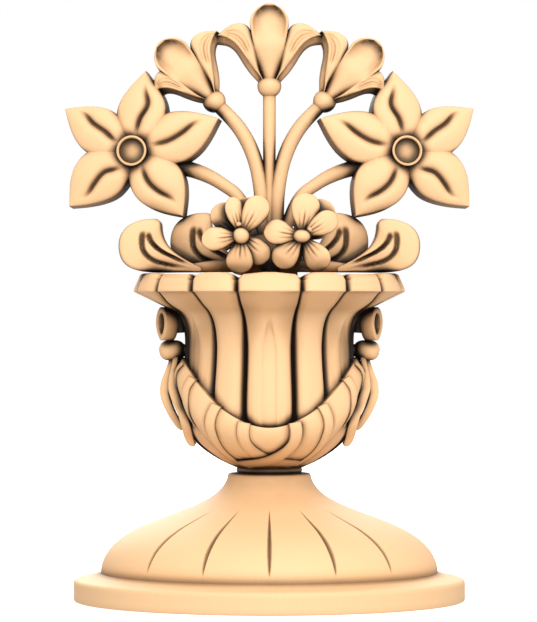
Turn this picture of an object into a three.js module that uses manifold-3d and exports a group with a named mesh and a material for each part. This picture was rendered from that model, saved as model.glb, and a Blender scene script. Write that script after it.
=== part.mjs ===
// Urn ornament with a carved bouquet, for a roof, a gate or a cabinet top.
// Three pieces of carved wood: a turned foot, a hollow fluted urn, and a bouquet that stands in it.
// Millimetres, +Z up. The origin is the centre of the foot's underside, and the front looks along -Y.

import * as THREE from 'three';
import { mergeVertices } from 'three/addons/utils/BufferGeometryUtils.js';
import Module from 'manifold-3d';

const wasm = await Module();
wasm.setup();

// Foot
const FOOT_RADIUS = 117.3;
const FOOT_PLATE_HEIGHT = 11;
const FOOT_CHAMFER = 2;
const FOOT_STEP_RADIUS = 101;
const FOOT_STEP_HEIGHT = 16.8;
const FOOT_WAIST_RADIUS = 25;
const FOOT_HEIGHT = 76.5;
const SEAT_DEPTH = 1.5;
const FOOT_GROOVE_WIDTH = 4;
const FOOT_GROOVE_DEPTH = 2.4;
const FOOT_GROOVE_STEP = 22.5;
const FOOT_GROOVES_EACH_WAY = 2;

// Urn
const NECK_RADIUS = 19.1;
const NECK_HEIGHT = 4.2;
const BOWL_BELLY_RADIUS = 53.2;
const BOWL_BELLY_RISE = 38.2;
const BOWL_WAIST_RADIUS = 50.6;
const BOWL_WAIST_RISE = 76.7;
const RIM_BREAK_RADIUS = 59;
const RIM_BREAK_RISE = 98.7;
const RIM_RADIUS = 81.4;
const RIM_EDGE_RISE = 109.7;
const RIM_HEIGHT = 11;
const RIM_SETBACK = 3;
const MOUTH_RADIUS = 64;
const BOWL_WALL = 9.5;
const BOWL_FLOOR = 19;
const FLUTE_GROOVE_WIDTH = 3.6;
const FLUTE_GROOVE_DEPTH = 3;
const FLUTE_CROWN = 1;
const LOBE_NOTCH_WIDTH = 2.6;
const LOBE_NOTCH_DEPTH = 2.6;
const LOBE_CROWN = 1.6;
const DAGGER_WIDTH = 7.4;
const DAGGER_DEPTH = 0.9;

// Swag, its ribbon bands, and the bows at the sides
const SWAG_TOP_RISE = 28.4;
const SWAG_LIFT = 40.5;
const SWAG_FOOT_LIFT = 55;
const SWAG_PROUD = 4.8;
const BAND_WIDTH = 7.4;
const BAND_PROUD = 1.3;
const KNOT_STANDOFF = 6.8;
const KNOT_RISE = 74.5;
const KNOT_RADIUS = 7.6;
const KNOT_HALF_HEIGHT = 6;
const LOOP_WIDTH = 12.4;
const LOOP_HEIGHT = 21;
const RIBBON_WIDTH = 8.4;
const RIBBON_THICKNESS = 2.4;
const LOOP_TURN = 60;
const LOOP_SPACING = 7.4;
const LOOP_WEB_RADIUS = 4.8;
const TAIL_WIDTH = 5;
const TAIL_THICKNESS = 3;

// Bouquet
const POST_FOOT_RADIUS = 13;
const POST_TOP_RADIUS = 17;
const STEM_RADIUS = 3.6;
const STAR_REACH = 80.3;
const STAR_HEIGHT = 268;
const STAR_BUTTON_RADIUS = 9.2;
const STAR_EDGE_DEPTH = 7.5;
const STAR_GROOVE_DEPTH = 3.4;
const BELL_BEAD_RADIUS = 6.6;
const TOP_BELL_HEIGHT = 308.4;
const SIDE_BELL_REACH = 33.2;
const SIDE_BELL_HEIGHT = 299.3;
const SIDE_BELL_LEAN = 43;
const SIDE_BELL_SCALE = 0.97;
const BLOSSOM_FORWARD = 54;
const BLOSSOM_LAYER_GAP = 7;
const LEAF_REACH = 89.9;
const LEAF_HALF_THICKNESS = 7;
const LEAF_SPACING = 11;
const LEAF_SPLAY = 5;
const LEAF_GROOVE_RADIUS = 1.3;
const LEAF_EYE = [-74, 15];
const INNER_LEAF_SHIFT = 30.6;
const INNER_LEAF_HEIGHT = 1.13;

// Clearances between pieces
const SEAT_GAP = 0.3;
const SEAT_SIDE_GAP = 0.5;
const STANDING_GAP = 0.3;
const LEAF_GAP = 0.7;

// Heights that follow from the sizes above
const SEAT_HEIGHT = FOOT_HEIGHT - SEAT_DEPTH;
const URN_BOTTOM = SEAT_HEIGHT + SEAT_GAP;
const RIM_EDGE_HEIGHT = URN_BOTTOM + RIM_EDGE_RISE;
const RIM_TOP = RIM_EDGE_HEIGHT + RIM_HEIGHT;
const CAVITY_FLOOR = URN_BOTTOM + BOWL_FLOOR;
const POST_BOTTOM = CAVITY_FLOOR + STANDING_GAP;
const KNOT_REACH = BOWL_WAIST_RADIUS + KNOT_STANDOFF;
const KNOT_HEIGHT = URN_BOTTOM + KNOT_RISE;

// The skin may move by this much where small facets are dropped.
const FACET_TOLERANCE = 0.4;

const WOOD = { color: '#f4cf98', roughness: 0.55, metalness: 0 };

const radians = (degrees) => degrees * Math.PI / 180;
const mix = (a, b, t) => a + (b - a) * t;
const clamp01 = (t) => Math.min(1, Math.max(0, t));
const smooth = (t) => clamp01(t) ** 2 * (3 - 2 * clamp01(t));
const steps = (count) => Array.from({ length: count + 1 }, (_, i) => i / count);

// Solids

function solidOf(geometry) {
  const bare = geometry.clone();
  bare.deleteAttribute('normal');
  bare.deleteAttribute('uv');
  const merged = mergeVertices(bare, 1e-4);
  const vertProperties = Float32Array.from(merged.attributes.position.array);
  const triVerts = Uint32Array.from(merged.index.array);
  return new wasm.Manifold(new wasm.Mesh({ numProp: 3, vertProperties, triVerts }));
}

// Joins solids, and drops the small facets that the joins leave.
function join(solids) {
  return solids.reduce((whole, piece) => whole.add(piece)).asOriginal().simplify(FACET_TOLERANCE);
}

function place(solid, matrix) {
  return solid.transform(matrix.elements);
}

function mirrorX(solid) {
  return place(solid, new THREE.Matrix4().makeScale(-1, 1, 1));
}

function mirrorY(solid) {
  return place(solid, new THREE.Matrix4().makeScale(1, -1, 1));
}

// A closed skin over a row of rings with the same number of points, each end closed by a fan.
// Where the row itself closes into a ring, it has no ends. The fans meet in the given middles.
function loft(rings, closed = false, middles = []) {
  const count = rings[0].length;
  const points = rings.flat();
  const faces = [];
  const last = closed ? rings.length : rings.length - 1;
  for (let i = 0; i < last; i += 1) {
    const here = i * count;
    const there = ((i + 1) % rings.length) * count;
    for (let j = 0; j < count; j += 1) {
      const k = (j + 1) % count;
      faces.push(here + j, there + j, there + k, here + j, there + k, here + k);
    }
  }
  if (!closed) {
    for (const [end, ring, flip] of [[0, 0, true], [1, rings.length - 1, false]]) {
      const middle = points.length;
      const average = new THREE.Vector3();
      rings[ring].forEach((point) => average.addScaledVector(point, 1 / count));
      points.push(middles[end] ?? average);
      for (let j = 0; j < count; j += 1) {
        const a = ring * count + j;
        const b = ring * count + (j + 1) % count;
        faces.push(...(flip ? [middle, a, b] : [middle, b, a]));
      }
    }
  }
  const geometry = new THREE.BufferGeometry().setFromPoints(points);
  geometry.setIndex(faces);
  return outward(geometry);
}

// Turns the faces round where the skin has come out inside out.
function outward(geometry) {
  const at = geometry.attributes.position;
  const index = geometry.index.array;
  const [a, b, c] = [new THREE.Vector3(), new THREE.Vector3(), new THREE.Vector3()];
  let volume = 0;
  for (let i = 0; i < index.length; i += 3) {
    a.fromBufferAttribute(at, index[i]);
    b.fromBufferAttribute(at, index[i + 1]);
    c.fromBufferAttribute(at, index[i + 2]);
    volume += a.dot(b.cross(c));
  }
  if (volume < 0) {
    for (let i = 0; i < index.length; i += 3) {
      [index[i], index[i + 1]] = [index[i + 1], index[i]];
    }
  }
  return geometry;
}

function turned(profile, segments) {
  const points = profile.map(([radius, height]) => new THREE.Vector2(radius, height));
  return solidOf(new THREE.LatheGeometry(points, segments).rotateX(Math.PI / 2));
}

function ball(radius, position, squash = 1) {
  const geometry = new THREE.SphereGeometry(radius, 8, 6).rotateX(Math.PI / 2);
  return solidOf(geometry.scale(1, 1, squash).translate(...position));
}

function bezier(from, pullFrom, pullTo, to, count) {
  const corners = [from, pullFrom, pullTo, to].map((corner) => new THREE.Vector2(...corner));
  return new THREE.CubicBezierCurve(...corners).getPoints(count).map((point) => [point.x, point.y]);
}

// A stem of round section along a curve, with a radius that runs from one end's to the other's.
function stem(route, startRadius, endRadius, count = 5, sides = 6) {
  const curve = new THREE.CatmullRomCurve3(route.map(([x, y, z]) => new THREE.Vector3(x, y, z)));
  const rings = steps(count).map((u) => {
    const centre = curve.getPoint(u);
    const along = curve.getTangent(u);
    const side = new THREE.Vector3(0, 1, 0).cross(along).normalize();
    const up = along.clone().cross(side);
    const radius = mix(startRadius, endRadius, u);
    return Array.from({ length: sides }, (_, k) => {
      const turn = (k / sides) * 2 * Math.PI;
      const point = centre.clone().addScaledVector(side, radius * Math.cos(turn));
      return point.addScaledVector(up, radius * Math.sin(turn));
    });
  });
  return solidOf(loft(rings));
}

// A petal or blade in the XZ plane, its face towards -Y. The spine is a flat curve, the half width
// a function of the way along it, and front and back give the depth at a share s (-1 to 1) across.
function blade({ spine, halfWidth, front, back, count, shares, backShares = [-1, 0, 1] }) {
  const curve = new THREE.CatmullRomCurve3(spine.map(([x, z]) => new THREE.Vector3(x, 0, z)));
  const rings = steps(count).map((u) => {
    const centre = curve.getPoint(u);
    const across = curve.getTangent(u).cross(new THREE.Vector3(0, 1, 0)).normalize();
    const at = (s, depth) => centre.clone().addScaledVector(across, halfWidth(u) * s).setY(-depth);
    return [
      ...shares.map((s) => at(s, front(u, s))),
      ...backShares.map((s) => at(-s, -back(u, -s))),
    ];
  });
  return solidOf(loft(rings));
}

// Foot: a disc, an ogee dome and a waist with a shallow seat for the urn's neck

const DOME_TURN = [69, 47.5];
const DOME_SHOULDER = [[FOOT_STEP_RADIUS, FOOT_STEP_HEIGHT], [100.5, 31], [88, 40.2], DOME_TURN];
const DOME_SWEEP = [DOME_TURN, [46, 56.3], [29, 61], [FOOT_WAIST_RADIUS, FOOT_HEIGHT - 2.5]];

function footSolid() {
  const seatRadius = NECK_RADIUS + SEAT_SIDE_GAP;
  const profile = [
    [0, 0],
    [FOOT_RADIUS, 0],
    [FOOT_RADIUS, FOOT_PLATE_HEIGHT],
    [FOOT_RADIUS - FOOT_CHAMFER, FOOT_PLATE_HEIGHT + FOOT_CHAMFER],
    ...bezier(...DOME_SHOULDER, 5),
    ...bezier(...DOME_SWEEP, 5).slice(1),
    [FOOT_WAIST_RADIUS - 1, FOOT_HEIGHT - 0.6],
    [FOOT_WAIST_RADIUS - 2.4, FOOT_HEIGHT],
    [seatRadius + 0.4, FOOT_HEIGHT],
    [seatRadius, SEAT_HEIGHT],
    [0, SEAT_HEIGHT],
  ];
  const cutter = footGroove();
  const cutters = [];
  for (const side of [0, 180]) {
    for (let i = -FOOT_GROOVES_EACH_WAY; i <= FOOT_GROOVES_EACH_WAY; i += 1) {
      const turn = radians(side + i * FOOT_GROOVE_STEP);
      cutters.push(place(cutter, new THREE.Matrix4().makeRotationZ(turn)));
    }
  }
  return turned(profile, 44).subtract(join(cutters));
}

// A long spindle that lies in the dome's skin, from near the waist to near the step.
function footGroove() {
  const shoulder = bezier(...DOME_SHOULDER, 5);
  const sweep = bezier(...DOME_SWEEP, 5);
  const track = [...shoulder.slice(1), ...sweep.slice(1, 3)];
  const rings = track.map(([radius, height], i) => {
    const u = i / (track.length - 1);
    const swell = Math.sin(Math.PI * mix(0.02, 0.98, u)) ** 0.8;
    const half = FOOT_GROOVE_WIDTH / 2 * swell;
    const depth = FOOT_GROOVE_DEPTH * swell;
    const [outR, outZ] = domeNormal(track, i);
    const corner = (x, out) => new THREE.Vector3(x, -radius - outR * out, height + outZ * out);
    return [corner(-half, 0.2), corner(0, -depth), corner(half, 0.2), corner(0, 2)];
  });
  return solidOf(loft(rings));
}

function domeNormal(track, i) {
  const before = track[Math.max(0, i - 1)];
  const after = track[Math.min(track.length - 1, i + 1)];
  const run = [after[0] - before[0], after[1] - before[1]];
  const length = Math.hypot(...run);
  return [run[1] / length, -run[0] / length];
}

// Urn: the outline of its outer wall, from the neck up to the rim

const OUTER_WALL = [
  [NECK_RADIUS, URN_BOTTOM],
  [NECK_RADIUS, URN_BOTTOM + NECK_HEIGHT],
  ...bezier(
    [NECK_RADIUS + 0.7, URN_BOTTOM + NECK_HEIGHT + 0.1],
    [BOWL_BELLY_RADIUS * 0.79, URN_BOTTOM + BOWL_BELLY_RISE * 0.346],
    [BOWL_BELLY_RADIUS * 0.989, URN_BOTTOM + BOWL_BELLY_RISE * 0.673],
    [BOWL_BELLY_RADIUS, URN_BOTTOM + BOWL_BELLY_RISE],
    4,
  ),
  ...bezier(
    [BOWL_BELLY_RADIUS, URN_BOTTOM + BOWL_BELLY_RISE],
    [BOWL_BELLY_RADIUS * 1.008, URN_BOTTOM + mix(BOWL_BELLY_RISE, BOWL_WAIST_RISE, 0.325)],
    [BOWL_WAIST_RADIUS * 1.008, URN_BOTTOM + mix(BOWL_BELLY_RISE, BOWL_WAIST_RISE, 0.584)],
    [BOWL_WAIST_RADIUS, URN_BOTTOM + BOWL_WAIST_RISE],
    2,
  ).slice(1),
  ...bezier(
    [BOWL_WAIST_RADIUS, URN_BOTTOM + BOWL_WAIST_RISE],
    [BOWL_WAIST_RADIUS, URN_BOTTOM + mix(BOWL_WAIST_RISE, RIM_BREAK_RISE, 0.5)],
    [BOWL_WAIST_RADIUS * 1.018, URN_BOTTOM + mix(BOWL_WAIST_RISE, RIM_BREAK_RISE, 0.84)],
    [RIM_BREAK_RADIUS, URN_BOTTOM + RIM_BREAK_RISE],
    3,
  ).slice(1),
  [RIM_RADIUS, RIM_EDGE_HEIGHT],
  [RIM_RADIUS - RIM_SETBACK, RIM_TOP - 3],
  [RIM_RADIUS - RIM_SETBACK - 1.4, RIM_TOP - 0.6],
  [RIM_RADIUS - RIM_SETBACK - 4, RIM_TOP],
];

function wallRadius(height) {
  for (let i = 1; i < OUTER_WALL.length; i += 1) {
    const [lowRadius, low] = OUTER_WALL[i - 1];
    const [highRadius, high] = OUTER_WALL[i];
    if (height <= high) {
      return mix(lowRadius, highRadius, clamp01((height - low) / (high - low)));
    }
  }
  return RIM_RADIUS - RIM_SETBACK;
}

// The creases between lobes in one quarter, in degrees from the front: at the rim, and down the bowl.
// The last one fades out below the rim.
const CREASES = [
  { rim: 14, bowl: 17, depth: 1 },
  { rim: 35.3, bowl: 41.5, depth: 1 },
  { rim: 57, bowl: 79, depth: 1 },
  { rim: 80, bowl: 84.5, depth: 0 },
];

function allCreases() {
  const turned = ({ rim, bowl, depth }, place) => ({ rim: place(rim), bowl: place(bowl), depth });
  const right = CREASES.map((crease) => turned(crease, (a) => a));
  const back = CREASES.map((crease) => turned(crease, (a) => 180 - a)).reverse();
  const half = [...right, ...back];
  const left = half.map((crease) => turned(crease, (a) => 360 - a)).reverse();
  return [...half, ...left];
}

// One column of the bowl's skin: its bearing, and how far it lies below the smooth wall.
function fluteColumns() {
  const creases = allCreases();
  return creases.flatMap((crease, i) => {
    const next = creases[(i + 1) % creases.length];
    const wrap = i + 1 === creases.length ? 360 : 0;
    return ['crease', 'edge', 'crown', 'far edge'].map((kind) => ({
      kind,
      from: crease,
      to: { rim: next.rim + wrap, bowl: next.bowl + wrap, depth: next.depth },
    }));
  });
}

function columnPoint(column, radius, height) {
  const down = smooth((RIM_EDGE_HEIGHT - height) / (RIM_EDGE_HEIGHT - URN_BOTTOM - RIM_BREAK_RISE + 8));
  const start = mix(column.from.rim, column.from.bowl, down);
  const end = mix(column.to.rim, column.to.bowl, down);
  const fade = smooth((height - URN_BOTTOM - NECK_HEIGHT) / 10);
  const width = mix(LOBE_NOTCH_WIDTH, FLUTE_GROOVE_WIDTH, down) / 2;
  const edge = THREE.MathUtils.radToDeg(width / Math.max(radius, 1));
  const depthOf = (crease) => crown + mix(LOBE_NOTCH_DEPTH, FLUTE_GROOVE_DEPTH * crease.depth, down) * fade;
  const crown = mix(LOBE_CROWN, FLUTE_CROWN, down) * fade;
  const places = {
    crease: [start, -depthOf(column.from)],
    edge: [start + edge, -crown],
    crown: [mix(start, end, 0.5), 0],
    'far edge': [end - edge, -crown],
  };
  const [bearing, sink] = places[column.kind];
  const turn = radians(bearing);
  return new THREE.Vector3(
    (radius + sink) * Math.sin(turn),
    -(radius + sink) * Math.cos(turn),
    height,
  );
}

function bowlSolid() {
  const columns = fluteColumns();
  const rings = OUTER_WALL.map(([radius, height]) => (
    columns.map((column) => columnPoint(column, radius, height))
  ));
  const cavity = turned([
    [0, CAVITY_FLOOR],
    [18, CAVITY_FLOOR],
    ...bezier(
      [24, CAVITY_FLOOR + 0.6],
      [36, CAVITY_FLOOR + 3],
      [BOWL_BELLY_RADIUS - BOWL_WALL, CAVITY_FLOOR + 14],
      [BOWL_BELLY_RADIUS - BOWL_WALL, CAVITY_FLOOR + 26],
      3,
    ),
    [BOWL_WAIST_RADIUS - BOWL_WALL, URN_BOTTOM + BOWL_WAIST_RISE],
    [BOWL_WAIST_RADIUS - BOWL_WALL + 1.5, URN_BOTTOM + BOWL_WAIST_RISE + 12],
    [MOUTH_RADIUS - 3, RIM_EDGE_HEIGHT - 1],
    [MOUTH_RADIUS, RIM_TOP - 4],
    [MOUTH_RADIUS + 4, RIM_TOP + 1],
    [0, RIM_TOP + 1],
  ], 24);
  return solidOf(loft(rings)).subtract(cavity).subtract(daggerCutters());
}

// A shallow pointed panel, sunk in each wide flute.
function daggerCutters() {
  const top = URN_BOTTOM + RIM_BREAK_RISE - 4;
  const heights = [top, top - 8, top - 18, URN_BOTTOM + BOWL_BELLY_RISE - 12];
  const widths = [0.05, 0.7, 1, 1];
  const rings = heights.map((height, i) => {
    const half = DAGGER_WIDTH / 2 * widths[i];
    const face = -wallRadius(height);
    const depth = DAGGER_DEPTH * Math.min(1, widths[i] + 0.1);
    return [
      new THREE.Vector3(-half, face + depth * 0.4, height),
      new THREE.Vector3(0, face + depth, height),
      new THREE.Vector3(half, face + depth * 0.4, height),
      new THREE.Vector3(half, face - 2, height),
      new THREE.Vector3(-half, face - 2, height),
    ];
  });
  const panel = solidOf(loft(rings));
  const bearings = [0, 60, 120, 180, 240, 300];
  return join(bearings.map((turn) => place(panel, new THREE.Matrix4().makeRotationZ(radians(turn)))));
}

// Swag: a full garland that hangs from both knots, in front and behind

function swagTop(bearing) {
  const rise = Math.abs(Math.sin(radians(bearing))) ** 1.75;
  return URN_BOTTOM + SWAG_TOP_RISE + SWAG_LIFT * rise;
}

function swagBottom(bearing) {
  const folded = 90 - Math.abs(90 - Math.abs(bearing));
  return URN_BOTTOM + NECK_HEIGHT + 0.2 + SWAG_FOOT_LIFT * smooth((folded - 28) / 62);
}

// How far the garland stands off the bowl, at a share from its top edge (0) to its lower edge (1).
function swagProud(share) {
  return SWAG_PROUD * Math.sin(Math.PI * mix(0.06, 0.94, clamp01(share))) ** 0.6;
}

function swagPoint(bearing, share, lift) {
  const height = mix(swagTop(bearing), swagBottom(bearing), share);
  const radius = wallRadius(height) + swagProud(share) + lift;
  const turn = radians(bearing);
  return new THREE.Vector3(radius * Math.sin(turn), -radius * Math.cos(turn), height);
}

function swagSolid() {
  const count = 40;
  const rings = Array.from({ length: count }, (_, i) => {
    const bearing = -180 + i * 360 / count;
    const outer = [0, 0.14, 0.5, 0.86, 1].map((share) => swagPoint(bearing, share, 0));
    const inner = [1, 0].map((share) => swagPoint(bearing, share, -SWAG_PROUD - 4));
    return [...outer, ...inner];
  });
  return solidOf(loft(rings, true));
}

// The routes of the ribbons wrapped round the garland, over the front's right half and on past its
// middle: pairs of a bearing and a share of the way from the garland's top edge to its lower edge.
const BAND_ROUTES = [
  [[15.6, 0], [16.7, 0.21], [16.5, 0.42], [13.6, 0.58], [1.3, 0.84], [-14, 0.88], [-44, 0.97]],
  [[34.2, 0], [38.3, 0.39], [39.1, 0.77], [37.8, 0.97]],
  [[57, 0], [59, 0.5], [56.8, 0.97]],
];

function band(route) {
  const curve = new THREE.CatmullRomCurve3(route.map(([x, y]) => new THREE.Vector3(x / 100, y, 0)));
  const spot = (u, lift) => {
    const { x, y } = curve.getPoint(clamp01(u));
    return swagPoint(x * 100, clamp01(y), lift);
  };
  const rings = steps(7).map((u) => {
    const middle = spot(u, 0);
    const along = spot(u + 0.02, 0).sub(spot(u - 0.02, 0)).normalize();
    const out = new THREE.Vector3(middle.x, middle.y, 0).normalize();
    const across = along.clone().cross(out).normalize();
    const half = BAND_WIDTH / 2 * mix(1, 0.75, u);
    const corner = (side, lift) => (
      middle.clone().addScaledVector(across, side * half).addScaledVector(out, lift)
    );
    return [corner(-1, -4), corner(-0.9, BAND_PROUD), corner(0.9, BAND_PROUD), corner(1, -4)];
  });
  return solidOf(loft(rings));
}

function bandSolids() {
  const right = BAND_ROUTES.map(band);
  const front = [...right, ...right.map(mirrorX)];
  return join([...front, ...front.map(mirrorY)]);
}

// Bow: a knot, two standing loops and four tails at each side

function loopSolid() {
  const count = 12;
  const middle = KNOT_HEIGHT + KNOT_HALF_HEIGHT + LOOP_HEIGHT / 2 - 2.5;
  const rings = Array.from({ length: count }, (_, i) => {
    const turn = i / count * 2 * Math.PI;
    const taper = mix(1, 0.45, smooth((-Math.sin(turn) + 0.2) / 1.2));
    const across = Math.cos(turn) * taper;
    const at = (inset, side) => new THREE.Vector3(
      across * (LOOP_WIDTH / 2 - inset),
      side * RIBBON_WIDTH / 2,
      middle + Math.sin(turn) * (LOOP_HEIGHT / 2 - inset),
    );
    return [at(0, -1), at(0, 1), at(RIBBON_THICKNESS, 1), at(RIBBON_THICKNESS, -1)];
  });
  const turn = new THREE.Matrix4().makeRotationZ(radians(-LOOP_TURN));
  const shift = new THREE.Matrix4().makeTranslation(-KNOT_REACH - 4, -LOOP_SPACING, 0);
  return place(solidOf(loft(rings, true)), shift.multiply(turn));
}

// A tail hangs from the knot and follows the bowl. Its route gives the drop below the knot, how far
// it stands off the bowl, and its bearing from the side, in degrees.
const OUTER_TAIL = [[4, 7, 2], [14.8, 9.4, 3], [23.4, 10.2, 5], [31.6, 8.3, 6], [40, 4.8, 6], [47.8, 2.7, 6]];
const INNER_TAIL = [[4, 5.5, 5], [17.8, 6.2, 8], [27.8, 5.6, 10], [35.2, 3, 14], [45.4, 2.2, 24],
  [57.4, 2, 22]];

function tail(route) {
  const centres = route.map(([drop, standoff, bearing]) => {
    const height = KNOT_HEIGHT - drop;
    const radius = wallRadius(height) + standoff;
    return new THREE.Vector3(
      -radius * Math.cos(radians(bearing)),
      -radius * Math.sin(radians(bearing)),
      height,
    );
  });
  const rings = centres.map((centre, i) => {
    const half = TAIL_WIDTH / 2 * mix(0.7, 1, clamp01(i / 2));
    const corner = (dx, dy) => (
      centre.clone().add(new THREE.Vector3(dx * half, dy * TAIL_THICKNESS / 2, 0))
    );
    return [corner(-1, -1), corner(1, -1), corner(1, 1), corner(-1, 1)];
  });
  return solidOf(loft(rings));
}

function bowSolid() {
  const centre = [-KNOT_REACH, 0, KNOT_HEIGHT];
  const root = stem([[-BOWL_WAIST_RADIUS + 5, 0, KNOT_HEIGHT], centre], 4.5, 5, 1);
  const webHeights = [KNOT_HEIGHT + 10.5, KNOT_HEIGHT + 29];
  const web = stem(webHeights.map((height) => [-BOWL_WAIST_RADIUS - 2.6, 0, height]),
    LOOP_WEB_RADIUS, LOOP_WEB_RADIUS, 1);
  const front = [loopSolid(), tail(OUTER_TAIL), tail(INNER_TAIL)];
  return join([
    ball(KNOT_RADIUS, centre, KNOT_HALF_HEIGHT / KNOT_RADIUS),
    root,
    web,
    ...front,
    ...front.map(mirrorY),
  ]);
}

function urnSolid() {
  const bow = bowSolid();
  return join([bowlSolid(), swagSolid(), bandSolids(), bow, mirrorX(bow)]);
}

// Star flower: five pointed petals round a dished button

const STAR_PETALS = [
  { angle: 82.3, length: 49.3, width: 29.4, sway: -0.3 },
  { angle: 21.2, length: 55, width: 30.6, sway: 0.3 },
  { angle: -51.6, length: 49.4, width: 31, sway: -0.3 },
  { angle: -139.8, length: 50.6, width: 31, sway: 0.3 },
  { angle: 148, length: 50, width: 28.6, sway: 0.25 },
];

function starPetal({ angle, length, width, sway }) {
  const turn = radians(angle);
  const spine = [0.04, 0.5, 1].map((u) => [Math.cos(turn) * length * u, Math.sin(turn) * length * u]);
  const swell = (u) => Math.sin(Math.PI * mix(0.13, 1, u) ** 1.08) ** 0.8;
  const groove = (u, s) => {
    const off = Math.abs(s - sway * (u - 0.45)) / 0.22;
    return STAR_GROOVE_DEPTH * Math.sin(Math.PI * clamp01(u * 1.1)) * Math.max(0, 1 - off);
  };
  const crown = (u, s) => 4.5 * (1 - s * s) * Math.sin(Math.PI * mix(0.2, 1, u));
  return blade({
    spine,
    halfWidth: (u) => Math.max(0.15, width / 2 * swell(u)),
    front: (u, s) => STAR_EDGE_DEPTH + crown(u, s) - groove(u, s),
    back: (u, s) => STAR_EDGE_DEPTH + crown(u, s),
    count: 5,
    shares: [-1, -0.45, 0, 0.45, 1],
  });
}

function starSolid() {
  const button = turned([
    [0, -14],
    [6, -13],
    [STAR_BUTTON_RADIUS, -9],
    [STAR_BUTTON_RADIUS, 12],
    [STAR_BUTTON_RADIUS - 0.6, 13.5],
    [STAR_BUTTON_RADIUS - 1.6, 13.5],
    [STAR_BUTTON_RADIUS - 2.2, 12.2],
    [0, 12.2],
  ], 16);
  const facing = place(button, new THREE.Matrix4().makeRotationX(Math.PI / 2));
  const flower = join([...STAR_PETALS.map(starPetal), facing]);
  return place(flower, new THREE.Matrix4().makeTranslation(-STAR_REACH, 0, STAR_HEIGHT));
}

// Bell: a hollow-faced middle petal and two side petals that curl outwards, above a bead

const BELL_SPREAD_PETAL = [[-3.6, 3.6], [-7.8, 13.2], [-12.6, 22.8], [-18.6, 31.2], [-25.8, 33],
  [-30.3, 30.7]];
const BELL_CLOSE_PETAL = [[-3.6, 3.6], [-7.4, 12], [-10.4, 20.5], [-13.4, 28], [-17, 31.2], [-20.4, 30]];

function bellSolid(leftPetal) {
  const middleWidth = (u) => mix(2, 11.6, Math.sin(Math.PI / 2 * clamp01(u / 0.74)) ** 1.7);
  const round = (u) => Math.sqrt(Math.max(0, 1 - clamp01((u - 0.74) / 0.26) ** 2));
  const hollow = (u, s) => 5 * smooth((u - 0.45) / 0.35) * (1 - s ** 4);
  const middle = blade({
    spine: [[0, 2], [0, 26], [0, 49.8]],
    halfWidth: (u) => Math.max(0.8, middleWidth(u) * round(u)),
    front: (u, s) => mix(5, 11, Math.sin(Math.PI / 2 * u)) - hollow(u, s) * round(u) - 2 * s * s,
    back: (u, s) => mix(5, 11, Math.sin(Math.PI / 2 * u)) - hollow(u, s) * round(u) - 2 * s * s,
    count: 7,
    shares: [-1, -0.7, 0, 0.7, 1],
  });
  const depth = (u, s) => mix(4, 9, Math.sin(Math.PI * mix(0, 0.8, u))) * (1 - 0.25 * s * s);
  const side = (spine) => blade({
    spine,
    halfWidth: (u) => Math.max(0.3, 6.6 * Math.sin(Math.PI * mix(0.12, 1, u) ** 1.05) ** 0.9),
    front: depth,
    back: depth,
    count: 6,
    shares: [-1, 0, 1],
  });
  const right = mirrorX(side(BELL_SPREAD_PETAL));
  return join([middle, side(leftPetal), right, ball(BELL_BEAD_RADIUS, [0, 0, 0], 1)]);
}

function bellAt(bell, x, z, lean, scale) {
  const matrix = new THREE.Matrix4().makeTranslation(x, 0, z);
  matrix.multiply(new THREE.Matrix4().makeRotationY(radians(-lean)));
  matrix.multiply(new THREE.Matrix4().makeScale(scale, scale, scale));
  return place(bell, matrix);
}

// Blossom: five round petals about an oval button, on a short stalk from the post

const LEFT_BLOSSOM = {
  centre: [-16.5, 217.4],
  petals: [
    { angle: -173.5, length: 23.3, width: 14 },
    { angle: -93.7, length: 22, width: 16.2 },
    { angle: -44, length: 21.3, width: 15.4 },
    { angle: 60, length: 26.2, width: 15.6 },
    { angle: 104, length: 23.4, width: 11.2 },
  ],
  behind: [
    { angle: 131, length: 23.5, width: 16 },
    { angle: 78, length: 23.2, width: 13.5 },
  ],
};
const RIGHT_BLOSSOM = {
  centre: [18.9, 217.2],
  petals: [
    { angle: 170.6, length: 22.5, width: 15 },
    { angle: -131, length: 23, width: 16 },
    { angle: -54.6, length: 23.6, width: 15.6 },
    { angle: 30.4, length: 23.8, width: 13.8 },
    { angle: 82, length: 25.4, width: 17 },
  ],
  behind: [
    { angle: 50, length: 26, width: 17.5 },
  ],
};

function roundPetal({ angle, length, width }) {
  const turn = radians(angle);
  const spine = [0.06, 0.5, 1].map((u) => [Math.cos(turn) * length * u, Math.sin(turn) * length * u]);
  const swell = (u) => Math.sqrt(Math.max(0, 1 - clamp01((u - 0.62) / 0.38) ** 2));
  return blade({
    spine,
    halfWidth: (u) => Math.max(0.6, width / 2 * mix(0.35, 1, smooth(u / 0.62)) * swell(u)),
    front: (u, s) => 1.4 + 1.6 * (1 - s * s) * Math.sin(Math.PI * mix(0.15, 1, u)),
    back: (u) => 2.6 + 1.4 * (1 - u),
    count: 4,
    shares: [-1, 0, 1],
  });
}

function blossomSolid({ centre, petals, behind }) {
  const layerBack = new THREE.Matrix4().makeTranslation(0, BLOSSOM_LAYER_GAP, 0);
  const rear = behind.map((petal) => place(roundPetal(petal), layerBack));
  const base = ball(5, [0, BLOSSOM_LAYER_GAP / 2, 0], 1);
  const head = join([...petals.map(roundPetal), ...rear, base, ball(4.8, [0, -1.5, 0], 1)]);
  const matrix = new THREE.Matrix4().makeTranslation(centre[0], -BLOSSOM_FORWARD, centre[1]);
  const stalk = stem([[centre[0] * 0.3, -6, 192], [centre[0], -BLOSSOM_FORWARD + 1, centre[1]]], 7, 4, 3);
  return place(head, matrix).add(stalk);
}

// Scroll leaf: a thick comma that lies out over the rim, with two grooves down each face

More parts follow.
